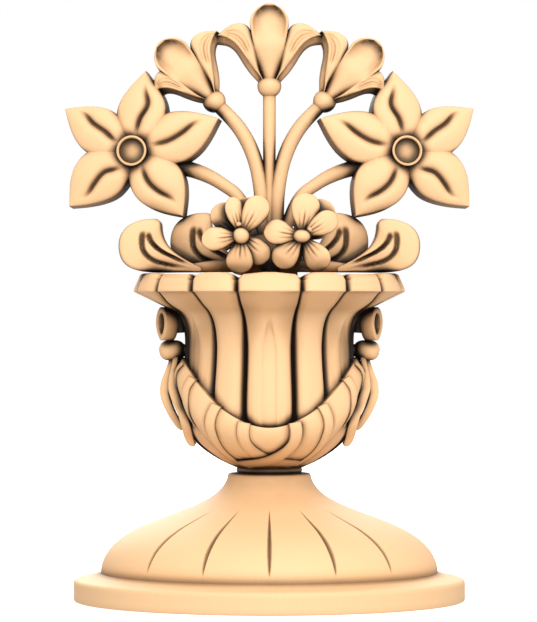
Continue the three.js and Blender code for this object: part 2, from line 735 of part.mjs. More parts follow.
function leafOutline() {
  const shape = new THREE.Shape();
  shape.moveTo(-41.5, 0);
  shape.lineTo(-50, 0);
  shape.bezierCurveTo(-72, 0, -LEAF_REACH, -3, -LEAF_REACH, 16);
  shape.bezierCurveTo(-LEAF_REACH + 0.4, 27.5, -80, 31.5, -68.6, 31.5);
  shape.lineTo(-65.2, 31);
  shape.lineTo(-65, 28);
  shape.bezierCurveTo(-64.5, 18, -60, 14, -53.6, 9.4);
  shape.bezierCurveTo(-49, 6.5, -45, 4, -41.5, 2.5);
  return shape.getPoints(4);
}

function leafBody() {
  const outline = leafOutline();
  const ring = (depth, share) => outline.map(({ x, y }) => (
    new THREE.Vector3(mix(LEAF_EYE[0], x, share), depth, mix(LEAF_EYE[1], y, share))
  ));
  const half = LEAF_HALF_THICKNESS;
  const rings = [ring(-half, 0.9), ring(2 - half, 1), ring(half - 2, 1), ring(half, 0.9)];
  const eyes = [-half - 1, half + 1].map((y) => new THREE.Vector3(LEAF_EYE[0], y, LEAF_EYE[1]));
  const body = solidOf(loft(rings, false, eyes));
  const routes = [
    [[-75.2, 24.7], [-76.6, 19.3], [-75.6, 12.3], [-69.8, 6.8], [-59.6, 3.8], [-48, 1.2]],
    [[-73, 23.8], [-71.4, 18.3], [-65.6, 12.5], [-56.6, 8], [-48, 3.8]],
  ];
  const cutters = routes.flatMap((route) => [-1, 1].map((side) => (
    stem(route.map(([x, z]) => [x, side * (half + 0.4), z]), LEAF_GROOVE_RADIUS, 0.9, 4, 3)
  )));
  return body.subtract(join(cutters));
}

// On each side two leaves stand one behind the other, and a taller one between them, further in.
function leafSolids() {
  const leaf = leafBody();
  const lift = new THREE.Matrix4().makeTranslation(0, 0, RIM_TOP + LEAF_GAP);
  const splay = new THREE.Matrix4().makeRotationZ(radians(LEAF_SPLAY));
  const forward = new THREE.Matrix4().makeTranslation(0, -LEAF_SPACING, 0).multiply(splay);
  const arm = stem([[-6, -2, 5.4], [-30, -5, 4], [-46, -LEAF_SPACING - 3.4, 2.6]], 5, 2.4, 3);
  const outer = join([place(leaf, forward), arm]);
  const inward = new THREE.Matrix4().makeTranslation(INNER_LEAF_SHIFT, 0, 0);
  inward.multiply(new THREE.Matrix4().makeScale(1, 1, INNER_LEAF_HEIGHT));
  const left = join([outer, mirrorY(outer), place(leaf, inward)]);
  return place(join([left, mirrorX(left)]), lift);
}

function stemSolids() {
  const left = [
    stem([[-2.5, 0, 200], [-5, 0, 246.6], [-9.2, 0, 265.8], [-20, 0, 285], [-SIDE_BELL_REACH, 0,
      SIDE_BELL_HEIGHT]], 4.2, 4.2),
    stem([[-4, 0, 206], [-15.8, 0, 237.6], [-28.4, 0, 249.6], [-44.2, 0, 257.4], [-64, 0, 261.6]],
      STEM_RADIUS, 5),
  ];
  const centre = stem([[0, 0, 200], [0, 0, TOP_BELL_HEIGHT]], STEM_RADIUS, STEM_RADIUS, 1);
  return join([centre, ...left, ...left.map(mirrorX)]);
}

function bouquetSolid() {
  const post = turned([
    [0, POST_BOTTOM],
    [POST_FOOT_RADIUS, POST_BOTTOM],
    [POST_FOOT_RADIUS - 1, POST_BOTTOM + 60],
    [POST_TOP_RADIUS, RIM_TOP + LEAF_GAP - 4],
    [POST_TOP_RADIUS, RIM_TOP + 12],
    [9, RIM_TOP + 24],
    [0, RIM_TOP + 26],
  ], 16);
  const star = starSolid();
  const bell = bellAt(bellSolid(BELL_CLOSE_PETAL), -SIDE_BELL_REACH, SIDE_BELL_HEIGHT, SIDE_BELL_LEAN,
    SIDE_BELL_SCALE);
  const blossoms = [LEFT_BLOSSOM, RIGHT_BLOSSOM].map(blossomSolid);
  return join([
    post,
    stemSolids(),
    star,
    mirrorX(star),
    bell,
    mirrorX(bell),
    bellAt(bellSolid(BELL_SPREAD_PETAL), 0, TOP_BELL_HEIGHT, 0, 1),
    ...blossoms,
    ...blossoms.map(mirrorY),
    leafSolids(),
  ]);
}

// Scene

function meshOf(name, solid) {
  const { vertProperties, triVerts } = solid.asOriginal().simplify(FACET_TOLERANCE).getMesh();
  const geometry = new THREE.BufferGeometry();
  geometry.setAttribute('position', new THREE.BufferAttribute(vertProperties, 3));
  geometry.setIndex(new THREE.BufferAttribute(triVerts, 1));
  geometry.computeVertexNormals();
  const mesh = new THREE.Mesh(geometry, new THREE.MeshStandardMaterial(WOOD));
  mesh.name = name;
  return mesh;
}

const ornament = new THREE.Group();
ornament.add(meshOf('foot', footSolid()));
ornament.add(meshOf('urn', urnSolid()));
ornament.add(meshOf('bouquet', bouquetSolid()));

export default ornament;
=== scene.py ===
import math

import bpy
import numpy as np
from mathutils import Matrix, Vector
from mathutils.bvhtree import BVHTree


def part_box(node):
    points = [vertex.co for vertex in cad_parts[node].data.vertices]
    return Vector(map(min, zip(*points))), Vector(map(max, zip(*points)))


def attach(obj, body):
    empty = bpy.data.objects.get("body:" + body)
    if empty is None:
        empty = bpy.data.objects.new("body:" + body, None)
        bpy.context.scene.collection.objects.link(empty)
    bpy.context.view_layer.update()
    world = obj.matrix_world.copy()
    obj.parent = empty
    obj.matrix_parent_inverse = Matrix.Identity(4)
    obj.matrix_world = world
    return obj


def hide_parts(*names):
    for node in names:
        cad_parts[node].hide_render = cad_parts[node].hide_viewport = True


bl_info = {
    "name": "Carved urn ornament",
    "version": (1, 0, 0),
    "blender": (4, 5, 0),
    "location": "View3D > Sidebar > Urn",
    "description": "Builds a carved limewood urn with a bouquet around its packed solids",
    "category": "Object",
}

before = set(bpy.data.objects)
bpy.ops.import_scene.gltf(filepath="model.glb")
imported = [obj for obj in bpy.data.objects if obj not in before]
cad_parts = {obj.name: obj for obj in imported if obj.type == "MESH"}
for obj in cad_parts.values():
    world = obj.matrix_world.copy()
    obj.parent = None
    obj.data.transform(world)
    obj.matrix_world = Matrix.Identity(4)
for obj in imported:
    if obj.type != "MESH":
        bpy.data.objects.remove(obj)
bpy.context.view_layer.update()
MM = 0.001

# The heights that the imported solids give, in millimetres
FOOT_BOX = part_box("foot")
URN_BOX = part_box("urn")
BOUQUET_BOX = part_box("bouquet")
FOOT_TOP = FOOT_BOX[1].z / MM
URN_BOTTOM = URN_BOX[0].z / MM
RIM_TOP = URN_BOX[1].z / MM
POST_BOTTOM = BOUQUET_BOX[0].z / MM

# Shares of the sizes below that the solids also use
NECK_HEIGHT = 4.2
NECK_RADIUS = 19.1
SEAT_DEPTH = 1.5
SEAT_SIDE_GAP = 0.5
LEAF_GAP = 0.7
BOWL_FLOOR = 19.0


def length(name, about, metres):
    return bpy.props.FloatProperty(name=name, description=about, default=metres, unit="LENGTH")


def tint(name, about, code):
    return bpy.props.StringProperty(name=name, description=about + ", sRGB hex", default=code)


class FootSizes(bpy.types.PropertyGroup):
    """The turned foot."""

    radius: length("Radius", "Radius of the plate", FOOT_BOX[1].x)
    groove_width: length("Groove width", "Widest part of a dome groove", 0.0029)
    groove_depth: length("Groove depth", "Deepest part of a dome groove", 0.0013)


class UrnSizes(bpy.types.PropertyGroup):
    """The hollow bowl and what is carved on it."""

    rim_radius: length("Rim radius", "Radius of the rim's lower edge", 0.0814)
    flute_groove: length("Flute groove", "Width of a groove between flutes", 0.0042)
    ribbon_width: length("Ribbon width", "Width of the bows' ribbon", 0.0084)


class BouquetSizes(bpy.types.PropertyGroup):
    """The spray of flowers and leaves."""

    star_reach: length("Star reach", "Middle of a star flower from the centre", 0.0803)
    star_height: length("Star height", "Middle of a star flower above the ground", 0.268)
    leaf_reach: length("Leaf reach", "End of a scroll leaf from the centre", 0.0899)


class FinishColours(bpy.types.PropertyGroup):
    """The satin limewood and its toned recesses."""

    light: tint("Light", "Proud wood", "E9BD8D")
    warm: tint("Warm", "Shaded wood", "C99E72")
    brown: tint("Brown", "Toned recess", "6C5339")
    deep: tint("Deep", "Deepest recess", "1C1109")


def linear(code):
    """An sRGB hex colour as linear red, green, blue and alpha."""
    parts = [int(code[i : i + 2], 16) / 255 for i in (0, 2, 4)]
    low = [c / 12.92 if c <= 0.04045 else ((c + 0.055) / 1.055) ** 2.4 for c in parts]
    return (*low, 1.0)


# Small sums on arrays


def mix(a, b, t):
    return a + (b - a) * t


def clamp01(t):
    return np.clip(t, 0.0, 1.0)


def smooth(t):
    t = clamp01(t)
    return t * t * (3 - 2 * t)


def fading(off, width):
    """1 at the middle of a groove or ridge, falling off over a width on each side."""
    return np.exp(-((off / width) ** 2))


def crowded(count):
    """Shares from 0 to 1 that lie close together at both ends."""
    return 0.5 - 0.5 * np.cos(np.linspace(0, math.pi, count))


def unit(rows):
    return rows / (np.linalg.norm(rows, axis=1, keepdims=True) + 1e-12)


def around(radius, height, bearing):
    """Points round the upright axis, at bearings in degrees from the front."""
    turn = np.radians(bearing)
    return np.stack([radius * np.sin(turn), -radius * np.cos(turn), height + 0 * turn], axis=-1)


def bezier(start, pull_start, pull_end, end, count):
    """Points along a cubic curve, as rows of radius and height."""
    t = np.linspace(0, 1, count)[:, None]
    corners = [np.array(corner, float) for corner in (start, pull_start, pull_end, end)]
    shares = [(1 - t) ** 3, 3 * t * (1 - t) ** 2, 3 * t**2 * (1 - t), t**3]
    return sum(share * corner for share, corner in zip(shares, corners))


def through(points, u):
    """Points on a smooth curve through the given ones, at shares u of the way, and its direction."""
    points = np.array(points, float)
    ends = np.vstack([2 * points[0] - points[1], points, 2 * points[-1] - points[-2]])
    place = clamp01(u) * (len(points) - 1)
    k = np.minimum(place.astype(int), len(points) - 2)
    t = (place - k)[:, None]
    a, b, c, d = (ends[k + i] for i in range(4))
    slope, bend, twist = c - a, 2 * a - 5 * b + 4 * c - d, 3 * b - a - 3 * c + d
    curve = 0.5 * (2 * b + slope * t + bend * t**2 + twist * t**3)
    return curve, unit(0.5 * (slope + 2 * bend * t + 3 * twist * t**2))


def along(u, values):
    """A smooth run of values, given at equal shares of the way."""
    return through([(value, 0, 0) for value in values], np.ravel(u))[0][:, 0].reshape(np.shape(u))


def rounded_edge(gap, radius):
    """How far a face drops within a radius of its edge, as a quarter circle."""
    t = clamp01(1 - gap / radius)
    return radius * (1 - np.sqrt(np.maximum(0, 1 - t**2)))


# Bodies: each starts as a ball or a ring, and its vertices are then moved to a carved form


def deselect():
    bpy.ops.object.select_all(action="DESELECT")


def active(piece):
    deselect()
    piece.select_set(True)
    bpy.context.view_layer.objects.active = piece


def face_outwards(piece):
    active(piece)
    bpy.ops.object.mode_set(mode="EDIT")
    bpy.ops.mesh.select_all(action="SELECT")
    bpy.ops.mesh.normals_make_consistent(inside=False)
    bpy.ops.object.mode_set(mode="OBJECT")


def positions(piece):
    spots = np.empty(len(piece.data.vertices) * 3)
    piece.data.vertices.foreach_get("co", spots)
    return spots.reshape(-1, 3)


def move_vertices(piece, spots):
    piece.data.vertices.foreach_set("co", spots.ravel())
    piece.data.update()


def ball_body(name, grid):
    """A ball moved to a grid of points in millimetres. The first and last rows are its poles."""
    rows, columns = grid.shape[:2]
    deselect()
    bpy.ops.mesh.primitive_uv_sphere_add(segments=columns, ring_count=rows - 1, radius=1)
    ball = bpy.context.object
    ball.name = name
    x, y, z = positions(ball).T
    row = np.rint(np.arccos(np.clip(z, -1, 1)) / math.pi * (rows - 1)).astype(int)
    column = np.rint(np.arctan2(y, x) / math.tau * columns).astype(int) % columns
    move_vertices(ball, grid[row, column] * MM)
    face_outwards(ball)
    return ball


def ring_body(name, grid):
    """A ring moved to a grid of points in millimetres, which closes both ways."""
    rows, columns = grid.shape[:2]
    deselect()
    bpy.ops.mesh.primitive_torus_add(
        major_segments=rows, minor_segments=columns, major_radius=2, minor_radius=1
    )
    ring = bpy.context.object
    ring.name = name
    x, y, z = positions(ring).T
    row = np.rint(np.arctan2(y, x) / math.tau * rows).astype(int) % rows
    column = np.rint(np.arctan2(z, np.hypot(x, y) - 2) / math.tau * columns).astype(int) % columns
    move_vertices(ring, grid[row, column] * MM)
    face_outwards(ring)
    return ring


def capped(rings, first=None, last=None):
    """Adds a pole before the first ring and after the last."""
    count = rings.shape[1]
    start = rings[0].mean(0) if first is None else np.array(first, float)
    end = rings[-1].mean(0) if last is None else np.array(last, float)
    return np.concatenate([np.tile(start, (1, count, 1)), rings, np.tile(end, (1, count, 1))])


def turned_body(name, profile, columns):
    """A body turned on the upright axis, from rows of radius and height."""
    turn = np.arange(columns) / columns * 360
    radius, height = np.array(profile, float).T[..., None]
    return ball_body(name, around(radius, height, turn + 90))


def copy_of(piece, name, change):
    """A copy with its own mesh, each vertex moved by change(spots in millimetres)."""
    twin = piece.copy()
    twin.data = piece.data.copy()
    twin.name = name
    bpy.context.scene.collection.objects.link(twin)
    move_vertices(twin, change(positions(twin) / MM) * MM)
    face_outwards(twin)
    return twin


def mirrored(piece, axis):
    sign = np.array([-1.0 if i == axis else 1.0 for i in range(3)])
    return copy_of(piece, piece.name + "_mirrored", lambda spots: spots * sign)


def shifted(piece, by):
    move_vertices(piece, positions(piece) + np.array(by, float) * MM)
    return piece


def combine(first, second, operation):
    active(first)
    step = first.modifiers.new("carve", "BOOLEAN")
    step.operation = operation
    step.solver = "MANIFOLD"
    step.object = second
    bpy.ops.object.modifier_apply(modifier=step.name)
    bpy.data.objects.remove(second)
    return first


def fuse(name, bodies):
    """Joins overlapping closed bodies into one, in pairs."""
    while len(bodies) > 1:
        pairs = [bodies[i : i + 2] for i in range(0, len(bodies), 2)]
        bodies = [combine(*pair, "UNION") if len(pair) == 2 else pair[0] for pair in pairs]
    bodies[0].name = name
    return bodies[0]


def stem_body(name, route, radii, rows=40, sides=24):
    """A stem along a smooth route, with its radius given at equal shares of the way."""
    u = np.linspace(0, 1, rows)
    centre, way = through(route, u)
    side = unit(np.cross([0.0, 1.0, 0.0], way))
    up = np.cross(way, side)
    radius = np.interp(u, np.linspace(0, 1, len(radii)), radii)[:, None, None]
    turn = (np.arange(sides) / sides * math.tau)[None, :, None]
    grid = centre[:, None] + radius * (np.cos(turn) * side[:, None] + np.sin(turn) * up[:, None])
    return ball_body(name, capped(grid))


def blade_body(name, spine, half_width, front, back, line=None, rows=44, across=15, behind=9):
    """A petal in the XZ plane that faces -Y.

    The spine is a flat curve. half_width(u) is its half width, and front(u, s) and back(u, s)
    give its depth at a share s from -1 to 1 across. The columns lie close together at the edges
    and along the line, a share across for each u.
    """
    u = np.linspace(0, 1, rows)
    u = mix(u, 0.5 - 0.5 * np.cos(u * math.pi), 0.75)
    centre, way = through([(x, 0.0, z) for x, z in spine], u)
    side = np.cross(way, [0.0, 1.0, 0.0])
    middle = (line(u) if line else np.zeros(rows))[:, None]
    t = crowded(across)[None]
    near = np.concatenate([-1 + (1 + middle) * t, (middle + (1 - middle) * t)[:, 1:]], axis=1)
    far = np.broadcast_to(2 * crowded(behind) - 1, (rows, behind))
    face = front(u[:, None], near)
    rear = -back(u[:, None], far)
    steps = np.array([0.2, 0.5, 0.8])[None]
    right = mix(face[:, -1:], rear[:, -1:], steps)
    left = mix(rear[:, :1], face[:, :1], steps)
    edge = np.ones((rows, 3))
    spread = half_width(u)[:, None] * np.concatenate([near, edge, far[:, ::-1], -edge], axis=1)
    grid = centre[:, None] + side[:, None] * spread[..., None]
    grid[..., 1] = -np.concatenate([face, right, rear[:, ::-1], left], axis=1)
    return ball_body(name, capped(grid))


# Foot


def foot_profile(radius):
    """The foot's outline, from the middle of its underside to the middle of its seat."""
    seat = NECK_RADIUS + SEAT_SIDE_GAP
    seat_height = FOOT_TOP - SEAT_DEPTH
    plate = [
        *[(r, 0) for r in (0, 30, 60, 90, radius - 1.2)],
        (radius - 0.35, 0.35),
        *[(radius, z) for z in (1.2, 4, 7, 9.6)],
        *bezier((radius, 10.4), (radius, 12.2), (radius - 0.8, 13), (radius - 2.6, 13.3), 6),
        *bezier((radius - 4, 13.6), (110, 14.4), (105, 15.4), (102.2, 16.2), 8),
    ]
    shoulder = bezier((101, 16.7), (100.5, 31), (88, 40.2), (69, 47.5), 40)
    sweep = bezier((69, 47.5), (46, 56.3), (29, 61), (25, FOOT_TOP - 2.5), 34)[1:]
    lip = bezier((25, FOOT_TOP - 2), (24.9, FOOT_TOP - 0.8), (24.2, FOOT_TOP), (22.6, FOOT_TOP), 6)
    top = [(seat + 0.8, FOOT_TOP - 0.1), (seat, FOOT_TOP - 0.6), (seat, seat_height), (12, seat_height)]
    return np.vstack([plate, shoulder, sweep, lip, top, [(0, seat_height)]])


# The dome's grooves, in degrees from the front, and the heights between which they run
DOME_GROOVES = np.array([side + step * 22.5 for side in (0, 180) for step in range(-2, 3)])
GROOVE_FOOT = 20.5
GROOVE_HEAD = 57.0


def from_groove(bearings):
    """How far each bearing is from the nearest groove, in degrees."""
    return np.abs((bearings[:, None] - DOME_GROOVES + 180) % 360 - 180).min(1)


def foot_bearings():
    """Bearings of the foot's columns, close together across each groove."""
    near = np.concatenate([[-3.4, -2.0], np.linspace(-1.2, 1.2, 15), [2.0, 3.4]])
    fine = (DOME_GROOVES[:, None] + near).ravel()
    coarse = np.arange(0, 360, 2.0)
    return np.unique(np.round(np.concatenate([fine % 360, coarse[from_groove(coarse) > 4.2]]), 4))


def carve_foot(sizes):
    profile = foot_profile(sizes.radius / MM)
    bearings = foot_bearings()
    radius, height = profile[:, :1], profile[:, 1:]
    climb = clamp01((height - GROOVE_FOOT) / (GROOVE_HEAD - GROOVE_FOOT))
    on_dome = (height > GROOVE_FOOT) & (height < GROOVE_HEAD) & (radius > 40)
    swell = np.sin(math.pi * climb**0.8) ** 0.9 * on_dome
    half = sizes.groove_width / MM / 2 * swell + 1e-6
    off = np.radians(from_groove(bearings))[None] * radius / half
    depth = sizes.groove_depth / MM * swell * clamp01(1 - off) ** 0.8
    run = unit(np.gradient(profile, axis=0))
    grid = around(radius - run[:, 1:] * depth, height + run[:, :1] * depth, bearings[None])
    return ball_body("foot_carved", grid)


# Urn: its smooth outer wall first

BELLY = (53.2, 38.2)
WAIST = (50.6, 76.7)
BREAK = (59.0, 98.7)
RIM_EDGE = 109.7


def wall_profile(rim_radius):
    """The outer wall, from the neck's underside to the rim's top, as radius and rise."""

    def rim(inward, up):
        return (rim_radius - inward, RIM_EDGE + up)

    collar = [(0, 1.5), (0.55, 2.1), (0.75, 2.9), (0.55, 3.7), (0.2, NECK_HEIGHT)]
    neck = [(0, 0), (12, 0), (NECK_RADIUS - 0.5, 0), (NECK_RADIUS, 0.5)]
    neck += [(NECK_RADIUS + proud, rise) for proud, rise in collar]
    low = bezier((NECK_RADIUS + 0.7, NECK_HEIGHT + 0.1), (42, 13.2), (52.6, 25.7), BELLY, 34)
    middle = bezier(BELLY, (53.6, 50.7), (51, 60.7), WAIST, 34)[1:]
    bend = bezier(WAIST, (50.5, 87.7), (51.5, 95.2), BREAK, 16)[1:]
    under = bezier(BREAK, (66, 102.2), (73, 105.6), rim(0.5, -0.3), 14)[1:]
    face = bezier(rim(0.1, 1), rim(1, 4), rim(2.4, 6.5), rim(3.2, 8.4), 8)
    top = bezier(rim(3.3, 8.8), rim(3.8, 10.4), rim(5, 11), rim(7.4, 11), 8)
    outer = np.vstack([neck, low, middle, bend, under, [rim(0, 0.2)], face, top])
    mouth = bezier(rim(9, 11), rim(13, 10.8), (64.6, RIM_EDGE + 9.6), (64, RIM_EDGE + 6), 8)
    throat = bezier((63.6, RIM_EDGE + 3), (60, RIM_EDGE - 4), (43, 97), (42.4, 88), 12)
    side = bezier((42, 80), (41, 70), (43.7, 58), (43.7, 45), 8)
    hollow = bezier((43.7, 40), (43.7, 33), (36, 22), (24, 19.6), 8)
    floor = [(radius, BOWL_FLOOR) for radius in (18, 8, 0)]
    inside = np.vstack([mouth, throat, side, hollow, floor])
    return outer, inside


class Wall:
    """The smooth outer wall, for what is carved on it."""

    def __init__(self, rim_radius):
        self.outer, self.inside = wall_profile(rim_radius)

    def radius(self, rise):
        return np.interp(rise, self.outer[3:, 1], self.outer[3:, 0])


# The creases between lobes in one quarter, in degrees from the front, as
# (at the rim, down the bowl, depth down the bowl)
CREASES = [(14.0, 17.0, 1.0), (35.3, 41.5, 1.0), (57.0, 79.0, 1.0), (80.0, 84.5, 0.0)]


def all_creases():
    half = CREASES + [(180 - rim, 180 - bowl, depth) for rim, bowl, depth in reversed(CREASES)]
    return np.array(half + [(360 - rim, 360 - bowl, depth) for rim, bowl, depth in reversed(half)])


# The wide flutes, each with the bearing of the pointed panel down its middle
PANELS = {15: 0, 1: 60, 5: 120, 7: 180, 9: 240, 13: 300}


def flute_columns():
    """Each column's crease, its kind, and its place.

    Kinds 0 and 2 lie so many groove half widths from this crease or the next, kind 1 at a share of
    the way between them, and kind 3 so many half widths from the middle of a pointed panel.
    """
    near = [0, 0.22, 0.45, 0.75, 1.15, 1.7]
    panel = [0.4, 0.8, 1, 1.15, 1.5, 2.2]
    share = np.linspace(0, 1, 7)[1:-1]
    columns = []
    for i in range(16):
        columns += [(i, 0, n) for n in near]
        if i in PANELS:
            columns += [(i, 3, n) for n in (*[-n for n in reversed(panel)], 0, *panel)]
        else:
            columns += [(i, 1, t) for t in share]
        columns += [(i, 2, n) for n in reversed(near[1:])]
    return np.array(columns)


def carve_bowl(sizes, wall):
    """The bowl's skin: lobes on the rim, flutes and their grooves down the bowl, pointed panels."""
    profile = np.vstack([wall.outer, wall.inside])
    outside = (np.arange(len(profile)) < len(wall.outer))[:, None]
    radius, rise = profile[:, :1], profile[:, 1:]
    creases = all_creases()
    columns = flute_columns()
    here = columns[:, 0].astype(int)
    wrap = np.where(here == 15, 360.0, 0.0)
    after = (here + 1) % 16
    down = smooth((RIM_EDGE - rise) / 15)
    up = clamp01((rise - RIM_EDGE) / 9) * outside
    start = mix(creases[here, 0], creases[here, 1], down)
    end = mix(creases[after, 0] + wrap, creases[after, 1] + wrap, down)
    start = start + 1.7 * up * np.sin(np.radians(2 * start))
    end = end + 1.7 * up * np.sin(np.radians(2 * end))
    on_rim = smooth((rise - RIM_EDGE + 1) / 1.5)
    half = mix(sizes.flute_groove / MM / 2 * mix(0.45, 1, smooth((100 - rise) / 26)), 2.4, on_rim)
    half_turn = np.degrees(half / np.maximum(radius, 1.0))
    kind, place = columns[:, 1], columns[:, 2]
    step = np.minimum(half_turn * place, (end - start) * 0.3)
    middle_start, middle_end = start + half_turn * 1.9, end - half_turn * 1.9
    panel = np.array([PANELS.get(i, 0) for i in here]) + wrap
    panel_half = np.degrees(np.maximum(panel_width(rise), 1.6) / np.maximum(radius, 6.0))
    on_panel = np.clip(panel + panel_half * place, middle_start, middle_end)
    between = mix(middle_start, middle_end, place)
    kinds = [kind == 0, kind == 1, kind == 2]
    bearing = np.select(kinds, [start + step, between, end - step], on_panel)
    # Distance from the nearer crease, in millimetres and in half widths
    gap = np.minimum(bearing - start, end - bearing)
    nearer_start = (bearing - start) < (end - bearing)
    deep = np.where(nearer_start, creases[here, 2], creases[after, 2])
    off = np.radians(gap) * radius / half
    share = clamp01((bearing - start) / (end - start))
    fade = smooth((rise - NECK_HEIGHT) / 9) * outside
    groove = (2.7 * fading(off, 0.6) + 1.2 * fading(off, 1.4)) * mix(1, deep, down)
    groove *= mix(0.3, 1, smooth((106 - rise) / 34))
    notch = 1.3 * fading(off, 0.9) + 1.6 * fading(off, 0.35)
    crown_drop = mix(1.6, 1.8, on_rim) * fade * np.abs(2 * share - 1) ** 2.4
    panel_drop = panel_depth(bearing, radius, rise) * outside
    near_mouth = on_rim * smooth((radius - 60) / 10)
    sink = mix(groove, notch, on_rim) * fade + crown_drop + panel_drop
    sink = np.where(outside, sink, notch * near_mouth * 0.5)
    on_top = smooth((rise - RIM_EDGE - 6) / 4) * smooth((radius - 62) / 8)
    dip = 3.8 * clamp01(1 - np.radians(gap) * radius / 7.5) ** 2 + 0.5 * (2 * share - 1) ** 2
    # On the bowl the carving sinks square to the wall, and on the rim straight inwards
    square = outside & (rise < RIM_EDGE - 0.5)
    run = unit(np.gradient(profile, axis=0))
    inwards, down_wall = np.where(square, run[:, 1:], 1), np.where(square, -run[:, :1], 0)
    r = np.maximum(radius - sink * inwards, 0)
    return ball_body("bowl", around(r, rise - sink * down_wall - dip * on_top + URN_BOTTOM, bearing))


def panel_width(rise):
    """Half the width of a pointed panel, which runs to a point below the rim."""
    return 3.9 * smooth((96 - rise) / 24) ** 0.7


def panel_depth(bearing, radius, rise):
    """A shallow pointed panel sunk in each wide flute, with a fine line round it."""
    off = (bearing + 30) % 60 - 30
    across = np.abs(np.radians(off) * radius)
    half = panel_width(rise)
    inside = smooth((half - across) / 1.6 + 0.5)
    line = 0.2 * fading(across - half, 0.4)
    return (0.7 * inside + line) * smooth((96 - rise) / 8) * smooth((rise - 12) / 10)


# Swag, ribbon bands and bows


def swag_top(bearing):
    return 29.6 + 40.8 * np.abs(np.sin(np.radians(bearing))) ** 1.95


def swag_bottom(bearing):
    folded = 90 - np.abs(90 - np.abs(bearing))
    return NECK_HEIGHT + 0.2 + 55 * clamp01((folded - 42) / 48) ** 0.66


def swag_spot(wall, bearing, share, lift):
    """A spot on the garland, at a share from its top edge to its lower edge."""
    rise = mix(swag_top(bearing), swag_bottom(bearing), share)
    bulge = np.sin(math.pi * mix(0.03, 0.998, clamp01(share))) ** mix(0.5, 0.95, clamp01(share))
    soft = 1 + 0.05 * np.sin(np.radians(bearing) * 14)
    radius = wall.radius(rise) + 4.8 * bulge * soft + lift
    return around(radius, rise + URN_BOTTOM, bearing)


def carve_swag(wall):
    bearing = np.arange(-180, 180, 1.25)[:, None]
    outer = swag_spot(wall, bearing, crowded(22)[None], 0)
    inner = swag_spot(wall, bearing, np.array([1, 0.75, 0.5, 0.25, 0])[None], -8.8)
    return ring_body("swag", np.concatenate([outer, inner], axis=1))


# Each band's route over the right half of the front, as bearing and share of the way down, and
# its width. The first one crosses its twin on the other side.
CROSSING = [
    *[(15.6, 0), (16.7, 0.21), (16.5, 0.42), (13.6, 0.57), (8.3, 0.69)],
    *[(0.6, 0.78), (-10, 0.85), (-22, 0.9), (-34, 0.94)],
]
BANDS = [
    (CROSSING, 7.2),
    ([(34.2, 0.0), (36.8, 0.21), (38.3, 0.39), (38.5, 0.54), (39.1, 0.77), (37.8, 0.97)], 6.6),
    ([(57, 0.0), (59.5, 0.3), (59, 0.55), (57.8, 0.8), (56.8, 0.99)], 6.4),
    ([(74, 0.0), (78, 0.3), (79, 0.6), (77, 0.95)], 4.5),
]


def carve_band(wall, route, width, proud):
    u = np.linspace(0, 1, 60)
    places, _ = through([(bearing, share, 0) for bearing, share in route], u)
    centre = swag_spot(wall, places[:, 0], places[:, 1], 0)
    way = unit(np.gradient(centre, axis=0))
    side = unit(np.cross(way, unit(centre * [1, 1, 0])))
    shares = np.array([-1, -1, -0.9, -0.5, 0, 0.5, 0.9, 1, 1])
    heights = proud * np.array([0.55, 0.95, 1.1, 1.15, 1.1, 0.95, 0.55])
    lifts = np.concatenate([[-3], heights, [-3]])
    half = width / 2 * mix(1, 0.72, smooth((u - 0.45) / 0.4))[:, None, None]
    flat = centre[:, None] + side[:, None] * (half * shares[None, :, None])
    height = flat[..., 2] - URN_BOTTOM
    bearing = np.degrees(np.arctan2(flat[..., 0], -flat[..., 1]))
    share = (swag_top(bearing) - height) / (swag_top(bearing) - swag_bottom(bearing))
    spots = swag_spot(wall, bearing, share, lifts[None])
    spots[..., 2] = flat[..., 2]
    return ball_body("band", capped(spots))


# Bow: its bead's rise above the urn's underside, and the bead, from the middle
KNOT_RISE = 74.5
BEAD_REACH = 58.2
LOOP_MIDDLE = (-61.2, -7.4, URN_BOTTOM + KNOT_RISE + 16)
LOOP_TURN = -60
RIBBON_THICKNESS = 3.2


def carve_loop(sizes):
    """A standing ribbon loop of the left bow, narrow at its foot."""
    turn = (np.arange(64) / 64 * math.tau)[:, None]
    taper = mix(1, 0.8, smooth((-np.sin(turn) + 0.15) / 1.15))
    half_width, half_height = 6.8, 10.0
    wide = sizes.ribbon_width / MM / 2
    inset = np.array([0, 0, 0, 0, 0.6, 2.4, 3, 3, 3, 3, 2.4, 0.6])
    side = np.array([-0.9, -0.4, 0.4, 0.9, 1, 1, 0.9, 0.4, -0.4, -0.9, -1, -1])
    swell = 0.35 * (1 - side**2) * (inset < 1)
    x = np.cos(turn) * (taper * (half_width - inset) + swell)
    z = np.sin(turn) * (half_height - 1.2 * inset)
    loop = ring_body("loop", np.stack([x, wide * side + 0 * x, z], axis=-1))
    loop.data.transform(Matrix.Rotation(math.radians(LOOP_TURN), 4, "Z"))
    return shifted(loop, LOOP_MIDDLE)


def carve_tail(centre, halves):
    """A hanging ribbon tail with a rounded end, from points down its middle."""
    u = np.linspace(0, 1, 48)
    middle, _ = through(centre, u)
    half = np.interp(u, np.linspace(0, 1, len(halves)), halves)
    half = half * np.sqrt(clamp01(1 - clamp01((u - 0.94) / 0.06) ** 2 * 0.8))
    turn = np.arange(20) / 20 * math.tau
    across, deep = (np.sign(wave) * np.abs(wave) ** 0.45 for wave in (np.cos(turn), np.sin(turn)))
    grid = np.repeat(middle[:, None], 20, axis=1)
    grid[..., 0] += half[:, None] * across
    grid[..., 1] += RIBBON_THICKNESS / 2 * deep - 0.5 * half[:, None] * across
    return ball_body("tail", capped(grid))


